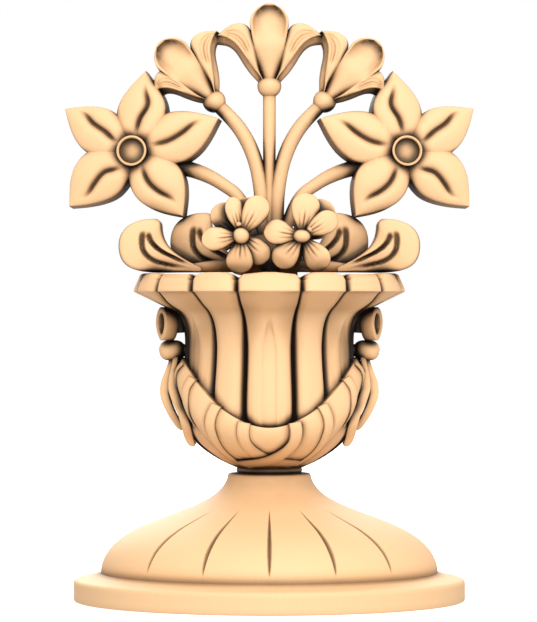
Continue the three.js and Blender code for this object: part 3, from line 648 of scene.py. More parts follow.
# The ribbon tails: the drop below the knot, the standoff from the bowl, the bearing from the side
OUTER_TAIL = [
    *[(4, 7, 2), (12, 8.8, 3), (18.8, 10.2, 4), (25.6, 10, 5)],
    *[(31.6, 8.3, 6), (40, 4.8, 6), (47.8, 2.7, 6)],
]
INNER_TAIL = [
    *[(4, 5.5, 5), (11, 6, 6.5), (17, 6.3, 8), (23.2, 5.6, 9.5), (30.4, 3.4, 13)],
    *[(37.6, 2.3, 21), (44.8, 2.2, 22), (52, 3, 16), (57.4, 5.4, 13)],
]
OUTER_HALVES = [1.7, 2.2, 2.7, 2.9, 2.8, 2.6, 2.3]
INNER_HALVES = [1.6, 1.9, 2.5, 3.0, 3.0, 2.9, 2.9, 2.8, 2.4]


def tail_spot(wall, drop, standoff, bearing):
    rise = KNOT_RISE - drop
    return around(wall.radius(rise) + standoff, URN_BOTTOM + rise, bearing - 90)


def carve_bow(sizes, wall):
    """The left bow: a bead on a root, two loops held by a web, and four tails."""
    knot = URN_BOTTOM + KNOT_RISE
    turn = np.linspace(0, math.pi, 25)
    ball = np.stack([8 * np.sin(turn) ** 0.62, -6.2 * np.cos(turn)], axis=-1)
    bead = shifted(turned_body("bead", ball, 40), (-BEAD_REACH, 0, knot))
    root = stem_body("root", [(x, 0, knot) for x in (-45, -50, -56)], [3.8, 3.8, 3.8], 12)
    web_route = [(-53, 0, knot + 10.5), (-53.6, 0, knot + 20), (-53, 0, knot + 30)]
    web = stem_body("web", web_route, [4.2, 4.8, 4.8], 16)
    front = [carve_loop(sizes)]
    for spots, halves in ((OUTER_TAIL, OUTER_HALVES), (INNER_TAIL, INNER_HALVES)):
        front.append(carve_tail([tail_spot(wall, *spot) for spot in spots], halves))
    return fuse("bow", [bead, root, web, *front, *[mirrored(piece, 1) for piece in front]])


def carve_urn(sizes):
    wall = Wall(sizes.rim_radius / MM)
    bowl = carve_bowl(sizes, wall)
    bands = []
    for route, width in BANDS:
        over, under = (2.3, 0.9) if route is CROSSING else (1.1, 1.1)
        other = [(-bearing, share) for bearing, share in route]
        bands += [carve_band(wall, route, width, over), carve_band(wall, other, width, under)]
    back = [mirrored(band, 1) for band in bands]
    bow = carve_bow(sizes, wall)
    return fuse("urn_carved", [bowl, carve_swag(wall), *bands, *back, bow, mirrored(bow, 0)])


# Star flower: angle, length, width, how far the middle bows, and the groove's place across the
# petal at equal shares of the way to its tip
STAR_TURN_OUT = 9.0
STAR_TILT_UP = 5.0
STAR_PETALS = [
    (82.3, 49.3, 29.4, -1.6, (0, -0.02, 0.01, 0.25, 0.08, 0)),
    (21.2, 55.0, 30.6, -1.1, (0, 0.02, 0.07, -0.05, -0.32, -0.2)),
    (-51.6, 49.4, 31.0, 0.6, (0, 0.12, 0.26, 0.18, -0.12, -0.1)),
    (-139.8, 50.6, 31.0, -2.4, (-0.2, -0.28, -0.06, -0.15, -0.32, -0.1)),
    (148.0, 50.0, 28.6, 0.6, (0, 0, 0.12, 0.16, 0.42, 0.2)),
]


def carve_star_petal(angle, length, width, bow, groove_places):
    turn = math.radians(angle)
    ahead = np.array([math.cos(turn), math.sin(turn)])
    aside = np.array([-math.sin(turn), math.cos(turn)])
    spine = [ahead * length * 0.04, ahead * length * 0.5 + aside * bow, ahead * length]

    def line(u):
        return -along(u, groove_places)

    def half_width(u):
        m = mix(0.13, 1, u) ** 1.08
        return np.maximum(0.15, width / 2 * 1.02 * np.sin(math.pi * m) ** mix(0.72, 1.0, u))

    def front(u, s):
        open_up = smooth((u - 0.12) / 0.22) * (1 - smooth((u - 0.62) / 0.28))
        off = np.abs(s - line(u)) * half_width(u)
        dome = clamp01(1 - s**2) ** 0.6
        crown = 4.9 * np.sin(math.pi * mix(0.18, 1, u)) ** 0.8
        valley = open_up * (1.5 * fading(off, 0.95) + 2.0 * fading(off, 3.4))
        sink = 2.6 * (1 - smooth(u / 0.3))
        edge = mix(7.8, 6.6, smooth((u - 0.6) / 0.4))
        gap = (1 - np.abs(s)) * half_width(u)
        return edge + crown * dome - valley - sink - rounded_edge(gap, 0.8)

    def back(u, s):
        crown = 3.2 * np.sin(math.pi * mix(0.2, 1, u)) * clamp01(1 - s**2)
        return 7.0 + crown - rounded_edge((1 - np.abs(s)) * half_width(u), 0.9)

    return blade_body("star_petal", spine, half_width, front, back, line, across=18, behind=11)


def carve_star(sizes):
    turn = np.linspace(0, math.pi / 2, 8)
    rim = [(8.2 + math.cos(t), 12.9 + 0.9 * math.sin(t)) for t in np.linspace(-0.2, math.pi / 2, 6)]
    profile = [
        *[(9.2 * math.sin(t), -9 - 5 * math.cos(t)) for t in turn],
        *[(9.2, out) for out in (-4, 4, 9, 12.4)],
        *rim,
        *[(7.6, 13.3), (7.3, 11.8), (7.1, 10.4), (6.6, 9.8), (5, 9.8), (2.5, 9.9), (0, 10)],
    ]
    button = turned_body("star_button", profile, 56)
    spots = positions(button)
    move_vertices(button, spots[:, [0, 2, 1]] * np.array([1, -1, 1]))
    face_outwards(button)
    star = fuse("star", [*[carve_star_petal(*petal) for petal in STAR_PETALS], button])
    turn_out = Matrix.Rotation(math.radians(-STAR_TURN_OUT), 4, "Z")
    tilt_up = Matrix.Rotation(math.radians(-STAR_TILT_UP), 4, "X")
    star.data.transform(turn_out @ tilt_up)
    return shifted(star, (-sizes.star_reach / MM, 0, sizes.star_height / MM))


# A side petal's inner edge, the lower edge of its face and the foot of its wall, from bead to tip
PETAL_EDGES = [
    [
        *[(-1.8, 1.4), (-4, 5.7), (-5.6, 10.2), (-6.8, 15.8), (-8.1, 22.1), (-9.6, 28.5)],
        *[(-11.6, 33.7), (-15.1, 36.5), (-19.7, 37), (-23.7, 35.7), (-27.2, 33.4), (-30.6, 30.6)],
    ],
    [
        *[(-4.1, 2.2), (-6.1, 5.7), (-9.1, 9.2), (-11.5, 12.6), (-14, 16.4), (-16.4, 19.9)],
        *[(-18.8, 23.1), (-21.2, 25.6), (-23.7, 27.3), (-26, 28.5), (-28.4, 29.1), (-30.8, 29.5)],
    ],
    [
        *[(-4.9, 0.2), (-7.5, 3), (-10.9, 6.6), (-13.4, 9.8), (-15.9, 13.5), (-18, 17)],
        *[(-20.2, 20.1), (-22.3, 22.1), (-24.4, 23.4), (-26.6, 24.1), (-28.8, 24.4), (-31.7, 24.6)],
    ],
]
# How far out the outer petal of a side bell reaches, beside the others
CLOSE_PETAL = 0.74
MIDDLE_WIDTHS = [5.2, 6.8, 8.7, 10.4, 11.7]
ARCH_START = 0.735
MIDDLE_LENGTH = 49.2


def carve_bell_middle():
    """The middle petal: convex below, and a scoop with a raised lip at its arched top."""

    def half_width(u):
        below = along(clamp01(u / ARCH_START), MIDDLE_WIDTHS)
        arch = clamp01(1 - clamp01((u - ARCH_START) / (1 - ARCH_START)) ** 2) ** 0.62
        return np.maximum(0.5, below * arch)

    def front(u, s):
        gap = np.minimum((1 - np.abs(s)) * half_width(u), (1 - u) * MIDDLE_LENGTH)
        high = smooth((u - 0.42) / 0.34)
        scoop = 3.4 * high * smooth((gap - 1.0) / 2.2)
        fall = mix(3.6, 1.0, smooth(u / 0.62)) * np.abs(s) ** 1.6 * (1 - high)
        base = mix(4.8, 11.4, np.sin(math.pi / 2 * clamp01(u / 0.72)))
        return base - 2.2 * smooth((u - 0.66) / 0.34) - scoop - fall - rounded_edge(gap, 0.6)

    spine = [(0, 2), (0, 18), (0, 34), (0, MIDDLE_LENGTH)]
    return blade_body("bell_middle", spine, half_width, front, front, rows=52, across=14, behind=23)


def carve_bell_side(reach):
    """A side petal that curls out to a point, with fine flutes on its outer half.

    It is a loft between the three curves in PETAL_EDGES, their X scaled by reach.
    """
    u = np.linspace(0, 1, 44)
    scale = np.array([reach, 0, mix(1, reach, 0.1)])
    routes = [[(x, 0.0, z) for x, z in edge] for edge in PETAL_EDGES]
    inner, crease, wall = (through(route, u)[0] * scale for route in routes)
    t = crowded(26)[None]
    s = 2 * t - 1
    wide = np.linalg.norm(crease - inner, axis=1)[:, None]
    u = u[:, None]
    crest = mix(4.2, 10.4, np.sin(math.pi / 2 * clamp01(u / 0.6)))
    crest = crest * (1 - 0.3 * smooth((u - 0.66) / 0.34))
    valley = mix(3.4, 0.9, smooth(u / 0.62)) * clamp01(-s) ** 1.7
    window = smooth((u - 0.3) / 0.14) * (1 - smooth((u - 0.8) / 0.14))
    lines = sum(fading((s - at) * wide / 2, 0.55) for at in (-0.02, 0.3, 0.62))
    flutes = window * (0.8 * fading(s - 0.3, 0.42) + 0.55 * lines)
    edge = rounded_edge(np.minimum(t, 1 - t) * wide, 0.7)
    face = crest - valley - 1.6 * clamp01(s) ** 2.6 - flutes - edge
    front = mix(inner[:, None], crease[:, None], t[..., None])
    front[..., 1] = -face
    rear = front[:, ::-1] * [1, -1, 1]
    steps = np.linspace(-1, 1, 7)[1:-1]
    outer = mix(crease[:, None], wall[:, None], (1 - np.abs(steps[None, :, None]) ** 2.2))
    outer[..., 1] = face[:, -1:] * steps
    closing = np.repeat(inner[:, None], 3, axis=1)
    closing[..., 1] = face[:, :1] * np.array([0.5, 0, -0.5])
    return ball_body("bell_side", capped(np.concatenate([front, outer, rear, closing], axis=1)))


def carve_bell(left_reach):
    """A middle petal, two side petals and a bead, upright at the origin."""
    turn = np.linspace(0, math.pi, 25)
    bead = turned_body("bell_bead", np.stack([7.2 * np.sin(turn), -7.2 * np.cos(turn)], axis=-1), 36)
    right = carve_bell_side(1.0)
    move_vertices(right, positions(right) * np.array([-1, 1, 1]))
    face_outwards(right)
    return fuse("bell", [carve_bell_middle(), carve_bell_side(left_reach), right, bead])


def bell_at(bell, x, z, lean, scale):
    bell.data.transform(Matrix.Rotation(math.radians(-lean), 4, "Y") @ Matrix.Scale(scale, 4))
    return shifted(bell, (x, 0, z))


# Blossoms: the middle, then angle, length and width of each petal and of those in the layer
# behind, then the button's half width, half height and tilt, and the bud's place beside it
LEFT_BLOSSOM = (
    (-16.5, 217.4),
    [
        *[(-173.5, 23.3, 14.0), (-93.7, 22.0, 16.2), (-44, 21.3, 15.4)],
        *[(60, 26.2, 15.6), (104, 23.4, 11.2)],
    ],
    [(131, 23.5, 16.0), (78, 23.2, 13.5)],
    (4.9, 5.1, -25, (-1.4, 6.6)),
)
RIGHT_BLOSSOM = (
    (18.9, 217.2),
    [
        *[(170.6, 22.5, 15.0), (-131, 23.0, 16.0), (-54.6, 23.6, 15.6)],
        *[(30.4, 23.8, 13.8), (82, 25.4, 17.0)],
    ],
    [(50, 26.0, 17.5)],
    (5.3, 4.1, 0, (4.6, 3.8)),
)
BLOSSOM_FORWARD = 54.0
BLOSSOM_LAYER_GAP = 7.0


def carve_round_petal(angle, length, width, lift, lean):
    turn = math.radians(angle)
    ahead = np.array([math.cos(turn), math.sin(turn)])
    spine = [ahead * length * share for share in (0.06, 0.38, 0.7, 1)]

    def half_width(u):
        grow = along(clamp01(u / 0.62), [0.3, 0.55, 0.86, 1.0])
        end = np.sqrt(clamp01(1 - clamp01((u - 0.6) / 0.4) ** 2.3))
        return np.maximum(0.3, width / 2 * grow * end)

    def front(u, s):
        cup = 2.0 * clamp01(1 - s**2) ** 0.8 * np.sin(math.pi * mix(0.2, 0.92, u))
        window = smooth((u - 0.1) / 0.08) * (1 - smooth((u - 0.42) / 0.26))
        lines = sum(fading((s - at) * half_width(u), 0.4) for at in (-0.45, 0.0, 0.42))
        curl = 1.0 * smooth((u - 0.7) / 0.3) + 1.2 * (1 - smooth(u / 0.3))
        gap = np.minimum((1 - np.abs(s)) * half_width(u), (1 - u) * length)
        return lift + 2.0 + lean * s + cup - 0.6 * window * lines - curl - rounded_edge(gap, 0.9)

    def back(u, s):
        gap = np.minimum((1 - np.abs(s)) * half_width(u), (1 - u) * length)
        return 2.4 - lift - lean * s + 1.2 * (1 - u) - rounded_edge(gap, 0.9)

    return blade_body("round_petal", spine, half_width, front, back, rows=24, across=12, behind=6)


def carve_blossom(centre, petals, behind, button_shape):
    lifts = [0.9, 0.3, -0.9, 0.5, 0.0]
    parts = [carve_round_petal(*petal, lift, 0.7) for petal, lift in zip(petals, lifts)]
    parts += [shifted(carve_round_petal(*petal, 0, 0), (0, BLOSSOM_LAYER_GAP, 0)) for petal in behind]
    wide, tall, tilt, bud_place = button_shape
    turn = np.linspace(0, math.pi, 17)
    ball = np.stack([np.sin(turn), -np.cos(turn)], axis=-1)
    deep = 4.6
    button = turned_body("blossom_button", ball * deep, 28)
    oval = Matrix.Diagonal((wide / deep, 1, tall / deep, 1))
    button.data.transform(Matrix.Rotation(math.radians(tilt), 4, "Y") @ oval)
    shifted(button, (0, -3.0, 0))
    bud = shifted(turned_body("blossom_bud", ball * 2.1, 16), (bud_place[0], -2.6, bud_place[1]))
    base = shifted(turned_body("blossom_base", ball * 5.5, 20), (0, BLOSSOM_LAYER_GAP / 2, 0))
    x, z = centre
    head = shifted(fuse("blossom", [*parts, button, bud, base]), (x, -BLOSSOM_FORWARD, z))
    route = [(x * 0.3, -6, 192), (x * 0.7, -30, 203), (x, -BLOSSOM_FORWARD + 1, z)]
    return fuse("blossom", [head, stem_body("stalk", route, [7, 5, 4], 16, 20)])


# Scroll leaf


def leaf_outline(reach):
    """The leaf's outline in the upright plane through the axis, from its tail round its head."""
    curves = [
        ((-41.5, 0), (-44, 0), (-47, 0), (-50, 0), 5),
        ((-50, 0), (-72, 0), (-reach, -3), (-reach, 16), 28),
        ((-reach, 16), (0.4 - reach, 27.5), (-80, 31.5), (-68.6, 31.5), 22),
        ((-68.6, 31.5), (-66.4, 31.4), (-65.2, 30.6), (-65, 28), 6),
        ((-65, 28), (-64.5, 18), (-60, 14), (-53.6, 9.4), 17),
        ((-53.6, 9.4), (-49, 6.5), (-45, 4), (-41.5, 2.6), 11),
        ((-41.5, 2.6), (-40.6, 2), (-40.6, 0.4), (-41.5, 0), 5),
    ]
    return np.vstack([bezier(*curve)[:-1] for curve in curves])


LEAF_EYE = np.array([-74.0, 15.0])
LEAF_GROOVES = [
    [(-75.2, 24.7), (-76.6, 19.3), (-75.6, 12.3), (-69.8, 6.8), (-59.6, 3.9), (-47, 1.4)],
    [(-73, 23.8), (-71.4, 18.3), (-65.6, 12.5), (-56.6, 8), (-47, 3.4)],
]
LEAF_SPACING = 11.0
LEAF_SPLAY = 5.0
INNER_LEAF_SHIFT = 30.6
INNER_LEAF_HEIGHT = 1.13


def gap_to(route, spots):
    """The distance of each spot from a smooth route, and the share of the way of its nearest point."""
    line, _ = through([(x, z, 0) for x, z in route], np.linspace(0, 1, 120))
    apart = np.linalg.norm(spots[:, None] - line[None, :, :2], axis=2)
    return apart.min(1), apart.argmin(1) / 119


def carve_leaf(sizes):
    """A thick comma with pillow-like faces, and two grooves with a sharp ridge between on each."""
    outline = leaf_outline(sizes.leaf_reach / MM)
    count = len(outline)
    half = 7.0
    # The hollow inner edge is bevelled more, so that it reads as a dark wall
    inner = smooth((outline[:, 0] + 70) / 3) * smooth((outline[:, 1] - 3) / 4)
    bevel = mix(2.4, 3.8, inner) * mix(0.4, 1, smooth((-outline[:, 0] - 41) / 10))
    shoulder = outline + unit(LEAF_EYE - outline) * bevel[:, None]
    rings = []
    for share in np.linspace(0, 1, 20)[1:]:
        spots = mix(LEAF_EYE, shoulder, share)
        carve = np.zeros(count)
        for route, wide in zip(LEAF_GROOVES, (2.2, 2.0)):
            gap, where = gap_to(route, spots)
            open_up = smooth(where / 0.12) * (1 - smooth((where - 0.75) / 0.25))
            carve = np.maximum(carve, 2.3 * open_up * clamp01(1 - gap / mix(wide, 1.0, where)) ** 0.8)
        depth = carve - half - 1.2 * (1 - share**2)
        rings.append(np.column_stack([spots[:, 0], depth, spots[:, 1]]))
    drop = mix(2.2, 5.0, inner)
    edge = []
    for t in np.linspace(0, math.pi / 2, 6)[1:]:
        spots = mix(shoulder, outline, math.sin(t))
        edge.append(np.column_stack([spots[:, 0], drop * (1 - math.cos(t)) - half, spots[:, 1]]))
    wall = [np.column_stack([outline[:, 0], np.full(count, y), outline[:, 1]]) for y in (-1.2, 0)]
    front = np.array([*rings, *edge, *wall])
    back = front[::-1][1:] * np.array([1, -1, 1])
    eye = (LEAF_EYE[0], -half - 1.2, LEAF_EYE[1])
    return ball_body("leaf", capped(np.concatenate([front, back]), eye, (eye[0], -eye[1], eye[2])))


def carve_leaves(sizes):
    """On each side two leaves, one behind the other, and a taller one between them, further in."""
    leaf = carve_leaf(sizes)
    taller, further_in = (1, 1, INNER_LEAF_HEIGHT), (INNER_LEAF_SHIFT, 0, 0)
    inner = copy_of(leaf, "inner_leaf", lambda spots: spots * taller + further_in)
    leaf.data.transform(Matrix.Rotation(math.radians(LEAF_SPLAY), 4, "Z"))
    front = shifted(leaf, (0, -LEAF_SPACING, 0))
    arm_route = [(-6, -2, 5.4), (-30, -5, 4), (-46, -LEAF_SPACING - 3.4, 2.6)]
    arm = stem_body("arm", arm_route, [5, 4, 2.4], 16, 20)
    left = [front, arm, mirrored(front, 1), mirrored(arm, 1), inner]
    leaves = [*left, *[mirrored(piece, 0) for piece in left]]
    return [shifted(piece, (0, 0, RIM_TOP + LEAF_GAP)) for piece in leaves]


# Bouquet


# Where the bells' beads sit, and the stems' routes up to them, all in the middle plane
SIDE_BEAD = (-33.2, 299.3)
TOP_BEAD = 308.4
BELL_STEM = [(-2.5, 200), (-4, 225), (-5, 246.6), (-9.2, 265.8), (-18, 283), SIDE_BEAD]
STAR_STEM = [(-4, 206), (-15.8, 237.6), (-28.4, 249.6), (-44.2, 257.4), (-64, 261.6)]
TOP_STEM = [(0, 200), (0, 255), (0, TOP_BEAD)]


def carve_stems():
    bell, star, top = ([(x, 0, z) for x, z in route] for route in (BELL_STEM, STAR_STEM, TOP_STEM))
    left = [
        stem_body("bell_stem", bell, [4.4, 4.6, 4.6, 4.5, 4.4, 4.1]),
        stem_body("star_stem", star, [3.6, 3.7, 3.9, 4.6, 5.2]),
    ]
    centre = stem_body("centre_stem", top, [3.9, 3.8, 3.8], 24)
    return [centre, *left, *[mirrored(piece, 0) for piece in left]]


def carve_post():
    profile = [
        (0, POST_BOTTOM),
        (12, POST_BOTTOM),
        (13, POST_BOTTOM + 1),
        *[(mix(13, 12, t), POST_BOTTOM + 1 + 59 * t) for t in np.linspace(0.2, 1, 5)],
        *bezier((12, POST_BOTTOM + 64), (12, 175), (17, 182), (17, RIM_TOP - 3.3), 10),
        (17, RIM_TOP + 4),
        (17, RIM_TOP + 12),
        *bezier((16.6, RIM_TOP + 14), (15, RIM_TOP + 20), (11, RIM_TOP + 24), (0, RIM_TOP + 26), 8),
    ]
    return turned_body("post", profile, 40)


def carve_bouquet(sizes):
    star = carve_star(sizes)
    side_bell = bell_at(carve_bell(CLOSE_PETAL), *SIDE_BEAD, 43, 0.97)
    blossoms = [carve_blossom(*LEFT_BLOSSOM), carve_blossom(*RIGHT_BLOSSOM)]
    bodies = [
        carve_post(),
        *carve_stems(),
        star,
        mirrored(star, 0),
        side_bell,
        mirrored(side_bell, 0),
        bell_at(carve_bell(1.0), 0, TOP_BEAD, 0, 1.0),
        *blossoms,
        *[mirrored(blossom, 1) for blossom in blossoms],
        *carve_leaves(sizes),
    ]
    return fuse("bouquet_carved", bodies)


# Finish: limewood, with painted shade in its recesses


def node(tree, kind, settings=None, links=None):
    """Adds a node, sets its inputs or properties, and links other sockets into its inputs."""
    made = tree.nodes.new(kind)
    for key, value in (settings or {}).items():
        if key in made.inputs:
            made.inputs[key].default_value = value
        else:
            setattr(made, key, value)
    for key, socket in (links or {}).items():
        tree.links.new(socket, made.inputs[key])
    return made


# How closed in the wood is where its painted shade turns it from light to warm, brown and deep
SHADE_STOPS = (0.02, 0.13, 0.32, 0.55)


def limewood(name, colours):
    """Satin-oiled limewood, hand carved: pale, nearly without figure, with painted shade in the
    recesses, from the recess attribute and ambient occlusion, running from warm to deep brown."""
    material = bpy.data.materials.new(name)
    material.use_nodes = True
    tree = material.node_tree
    shader = tree.nodes["Principled BSDF"]
    shader.inputs["IOR"].default_value = 1.5
    shader.inputs["Specular IOR Level"].default_value = 0.25
    place = node(tree, "ShaderNodeTexCoord").outputs["Object"]
    # Painted shade from the recess attribute: darker where the wood is closed in
    glaze = node(tree, "ShaderNodeAttribute", {"attribute_name": "recess"}).outputs["Fac"]
    # Close to a seam or in a groove, within a few millimetres, ambient occlusion adds painted shade,
    # darkest at the seam
    corner = node(tree, "ShaderNodeAmbientOcclusion", {"samples": 8, "Distance": 0.006}).outputs["AO"]
    # Painted shade at seams and contacts, from the ambient occlusion
    contact_shade = node(tree, "ShaderNodeMapRange", {"To Min": 0.46, "To Max": 0}, {"Value": corner})
    amount = node(tree, "ShaderNodeMath", {"operation": "ADD"}, {0: glaze, 1: contact_shade.outputs[0]})
    # The ramp paints that shade into the colour, from the light wood to deep brown
    ramp = node(tree, "ShaderNodeValToRGB", links={"Fac": amount.outputs[0]})
    codes = (colours.light, colours.warm, colours.brown, colours.deep)
    while len(ramp.color_ramp.elements) < len(codes):
        ramp.color_ramp.elements.new(0.5)
    for element, at, code in zip(ramp.color_ramp.elements, SHADE_STOPS, codes):
        element.position = at
        element.color = linear(code)
    # Limewood's fibres run up the work, about 0.5 mm apart and a few centimetres long
    fibres = node(tree, "ShaderNodeMapping", {"Scale": (900, 900, 40)}, {"Vector": place})
    grain = node(
        tree, "ShaderNodeTexNoise", {"Scale": 1.0, "Detail": 3.0}, {"Vector": fibres.outputs[0]}
    ).outputs["Fac"]
    drift = node(
        tree, "ShaderNodeTexNoise", {"Scale": 9.0, "Detail": 2.0}, {"Vector": place}
    ).outputs["Fac"]
    tone = node(tree, "ShaderNodeMapRange", {"To Min": 0.965, "To Max": 1.03}, {"Value": grain})
    cloud = node(tree, "ShaderNodeMapRange", {"To Min": 0.97, "To Max": 1.03}, {"Value": drift})
    figure = node(
        tree, "ShaderNodeMath", {"operation": "MULTIPLY"}, {0: tone.outputs[0], 1: cloud.outputs[0]}
    )
    colour = node(
        tree,
        # The satin limewood, and the colours of painted shade in its recesses.
        "ShaderNodeVectorMath",
        {"operation": "SCALE"},
        # Light is the wood's own colour; warm, brown and deep are painted shade, mixed in by how closed
        # in the wood is
        {0: ramp.outputs["Color"], "Scale": figure.outputs[0]},
    )
    tree.links.new(colour.outputs[0], shader.inputs["Base Color"])
    # Satin oil: a little duller along the fibres than between them
    polish = node(tree, "ShaderNodeMapRange", {"To Min": 0.5, "To Max": 0.62}, {"Value": grain})
    tree.links.new(polish.outputs[0], shader.inputs["Roughness"])
    # Tool marks and pores are a few hundredths of a millimetre deep
    bump = node(tree, "ShaderNodeBump", {"Strength": 0.25, "Distance": 0.00006}, {"Height": grain})
    tree.links.new(bump.outputs[0], shader.inputs["Normal"])
    return material


def ray_directions(count):
    """Directions spread evenly over a half sphere about +Z, weighted towards its top."""
    index = np.arange(count) + 0.5
    turn = index * math.pi * (3 - math.sqrt(5))
    up = np.sqrt(1 - index / count)
    flat = np.sqrt(1 - up**2)
    return np.stack([flat * np.cos(turn), flat * np.sin(turn), up], axis=-1)


def soften(piece, values, passes=3, near=0.0016):
    """The values evened out between vertices that lie close together."""
    mesh = piece.data
    ends = np.empty(len(mesh.edges) * 2, dtype=np.int64)
    mesh.edges.foreach_get("vertices", ends)
    first, second = ends.reshape(-1, 2).T
    spots = positions(piece)
    weight = np.exp(-np.linalg.norm(spots[first] - spots[second], axis=1) / near)
    for _ in range(passes):
        total = np.full(len(values), 0.5)
        summed = 0.5 * values
        for one, other in ((first, second), (second, first)):
            total += np.bincount(one, weight, len(values))
            summed += np.bincount(one, weight * values[other], len(values))
        values = summed / total
    return values


def closed_in(tree, spots, normals, rays, reach=0.045, tight=0.009):
    """How closed in each spot is, by rays that meet wood within reach, most of all if tight."""
    helper = np.where(np.abs(normals[:, 2:]) < 0.9, [[0.0, 0.0, 1.0]], [[1.0, 0.0, 0.0]])
    side = unit(np.cross(helper, normals))
    up = np.cross(normals, side)
    starts = (spots + normals * 0.0001).tolist()
    closed = np.zeros(len(spots))
    for x, y, z in ray_directions(rays):
        ways = side * x + up * y + normals * z
        for i, (start, way) in enumerate(zip(starts, ways.tolist())):
            hit = tree.ray_cast(start, way, reach)[3]
            if hit is not None:
                closed[i] += 0.55 * (1 - hit / reach) + 0.2 * max(0.0, 1 - hit / tight)
    return closed / rays


def painted_shade_on_turned(spots):
    """Painted light and shade on the urn: the painted shade is lifted off the neck's collar so it reads
    lit, and painted shade is added on the bowl's sides behind the bows.
    """
    x, z = np.abs(spots[:, 0]), spots[:, 2]
    reach = np.hypot(spots[:, 0], spots[:, 1])
    rise = z / MM - URN_BOTTOM
    # Painted light on the neck's collar, lifting its painted shade
    collar = smooth((rise - 1.4) / 0.4) * (1 - smooth((rise - 4.6) / 0.8))
    # Painted shade on the bowl's sides behind the bows
    behind = smooth((x - 0.036) / 0.014) * smooth((0.168 - z) / 0.014) * smooth((z - 0.112) / 0.02)
    return 0.26 * behind * (reach < 0.0522) - 0.3 * collar * smooth(reach / MM - 18)


def painted_shade_on_spray(spots, normals):
    """Painted shade behind the blossoms, and on the side walls of every form in relief, which turn away
    from the front.
    """
    x, y, z = np.abs(spots[:, 0]), np.abs(spots[:, 1]), spots[:, 2]
    # Painted shade behind the blossoms, where shade falls
    blossom_shade = smooth((0.04 - x) / 0.018) * smooth((0.25 - z) / 0.04) * smooth((0.056 - y) / 0.01)
    # Painted shade on the side walls, which turn away from the front
    return 0.3 * blossom_shade + 0.27 * smooth((0.62 - np.abs(normals[:, 1])) / 0.6)


def paint_recess_shade(foot, urn, bouquet, rays):
    """Writes how much painted shade each vertex gets, from ambient occlusion by ray casts and painted
    light and shade on chosen areas, to the point attribute recess.
    """
    pieces = (foot, urn, bouquet)
    corners, faces = [], []
    for piece in pieces:
        offset = len(corners)
        corners.extend(v.co.copy() for v in piece.data.vertices)
        faces.extend([offset + i for i in face.vertices] for face in piece.data.polygons)
    tree = BVHTree.FromPolygons(corners, faces)
    for piece in pieces:
        normals = np.empty(len(piece.data.vertices) * 3)
        piece.data.vertex_normals.foreach_get("vector", normals)
        normals = normals.reshape(-1, 3)
        spots = positions(piece)
        # Painted shade: ambient occlusion from ray casts, softened, plus painted light and shade on
        # chosen areas
        glaze = soften(piece, closed_in(tree, spots, normals, rays))
        glaze += painted_shade_on_spray(spots, normals) if piece is bouquet else painted_shade_on_turned(spots)
        recess = piece.data.attributes.new("recess", "FLOAT", "POINT")
        recess.data.foreach_set("value", glaze.astype(np.float32))


# Operators


def finish_piece(piece, replaced, material):
    piece.data.materials.clear()
    piece.data.materials.append(material)
    active(piece)
    bpy.ops.object.shade_smooth_by_angle(angle=math.radians(38))
    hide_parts(replaced)
    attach(piece, "root")


class URN_OT_foot(bpy.types.Operator):
    """Turn the foot and cut the grooves of its dome"""

    bl_idname = "urn_ornament.foot"
    bl_label = "Foot"

    def execute(self, context):
        foot = carve_foot(context.scene.urn_foot)
        finish_piece(foot, "foot", limewood("limewood_foot", context.scene.urn_finish))
        return {"FINISHED"}


class URN_OT_urn(bpy.types.Operator):
    """Carve the hollow bowl with its flutes, swags and bows"""

    bl_idname = "urn_ornament.urn"
    bl_label = "Urn"

    def execute(self, context):
        urn = carve_urn(context.scene.urn_bowl)
        finish_piece(urn, "urn", limewood("limewood_urn", context.scene.urn_finish))
        return {"FINISHED"}


class URN_OT_bouquet(bpy.types.Operator):
    """Carve the spray of bells, star flowers, blossoms and scroll leaves"""

    bl_idname = "urn_ornament.bouquet"
    bl_label = "Bouquet"

    def execute(self, context):
        bouquet = carve_bouquet(context.scene.urn_bouquet)
        material = limewood("limewood_bouquet", context.scene.urn_finish)
        finish_piece(bouquet, "bouquet", material)
        return {"FINISHED"}


class URN_OT_recess_shade(bpy.types.Operator):
    """Paint brown shade into the recesses of all three pieces"""

    bl_idname = "urn_ornament.glaze"
    bl_label = "Shade"

    def execute(self, context):
        names = ("foot_carved", "urn_carved", "bouquet_carved")
        pieces = [bpy.data.objects[name] for name in names]
        # Paints shade into the recesses, from ambient occlusion by 20 rays a vertex
        paint_recess_shade(*pieces, rays=20)
        return {"FINISHED"}


class URN_OT_stage(bpy.types.Operator):
    """Lay the pale floor, and set the lights and the camera"""

    bl_idname = "urn_ornament.stage"
    bl_label = "Stage"

    def execute(self, context):
        lay_floor()
        set_lights(context.scene)
        set_camera(context.scene)
        return {"FINISHED"}


def white_paper(name, code, glow):
    """Matt white paper that glows a little, so that it stays evenly pale behind the work."""
    paper = bpy.data.materials.new(name)
    paper.use_nodes = True
    shader = paper.node_tree.nodes["Principled BSDF"]
    shader.inputs["Base Color"].default_value = linear(code)
    shader.inputs["Roughness"].default_value = 1.0
    shader.inputs["Specular IOR Level"].default_value = 0.0
    shader.inputs["Emission Color"].default_value = linear("FFFFFF")
    shader.inputs["Emission Strength"].default_value = glow
    return paper


def keep_to_camera(backdrop):
    """Lets the camera see a backdrop that neither lights nor shades the work."""
    backdrop.visible_diffuse = False
    backdrop.visible_glossy = False
    backdrop.visible_shadow = False


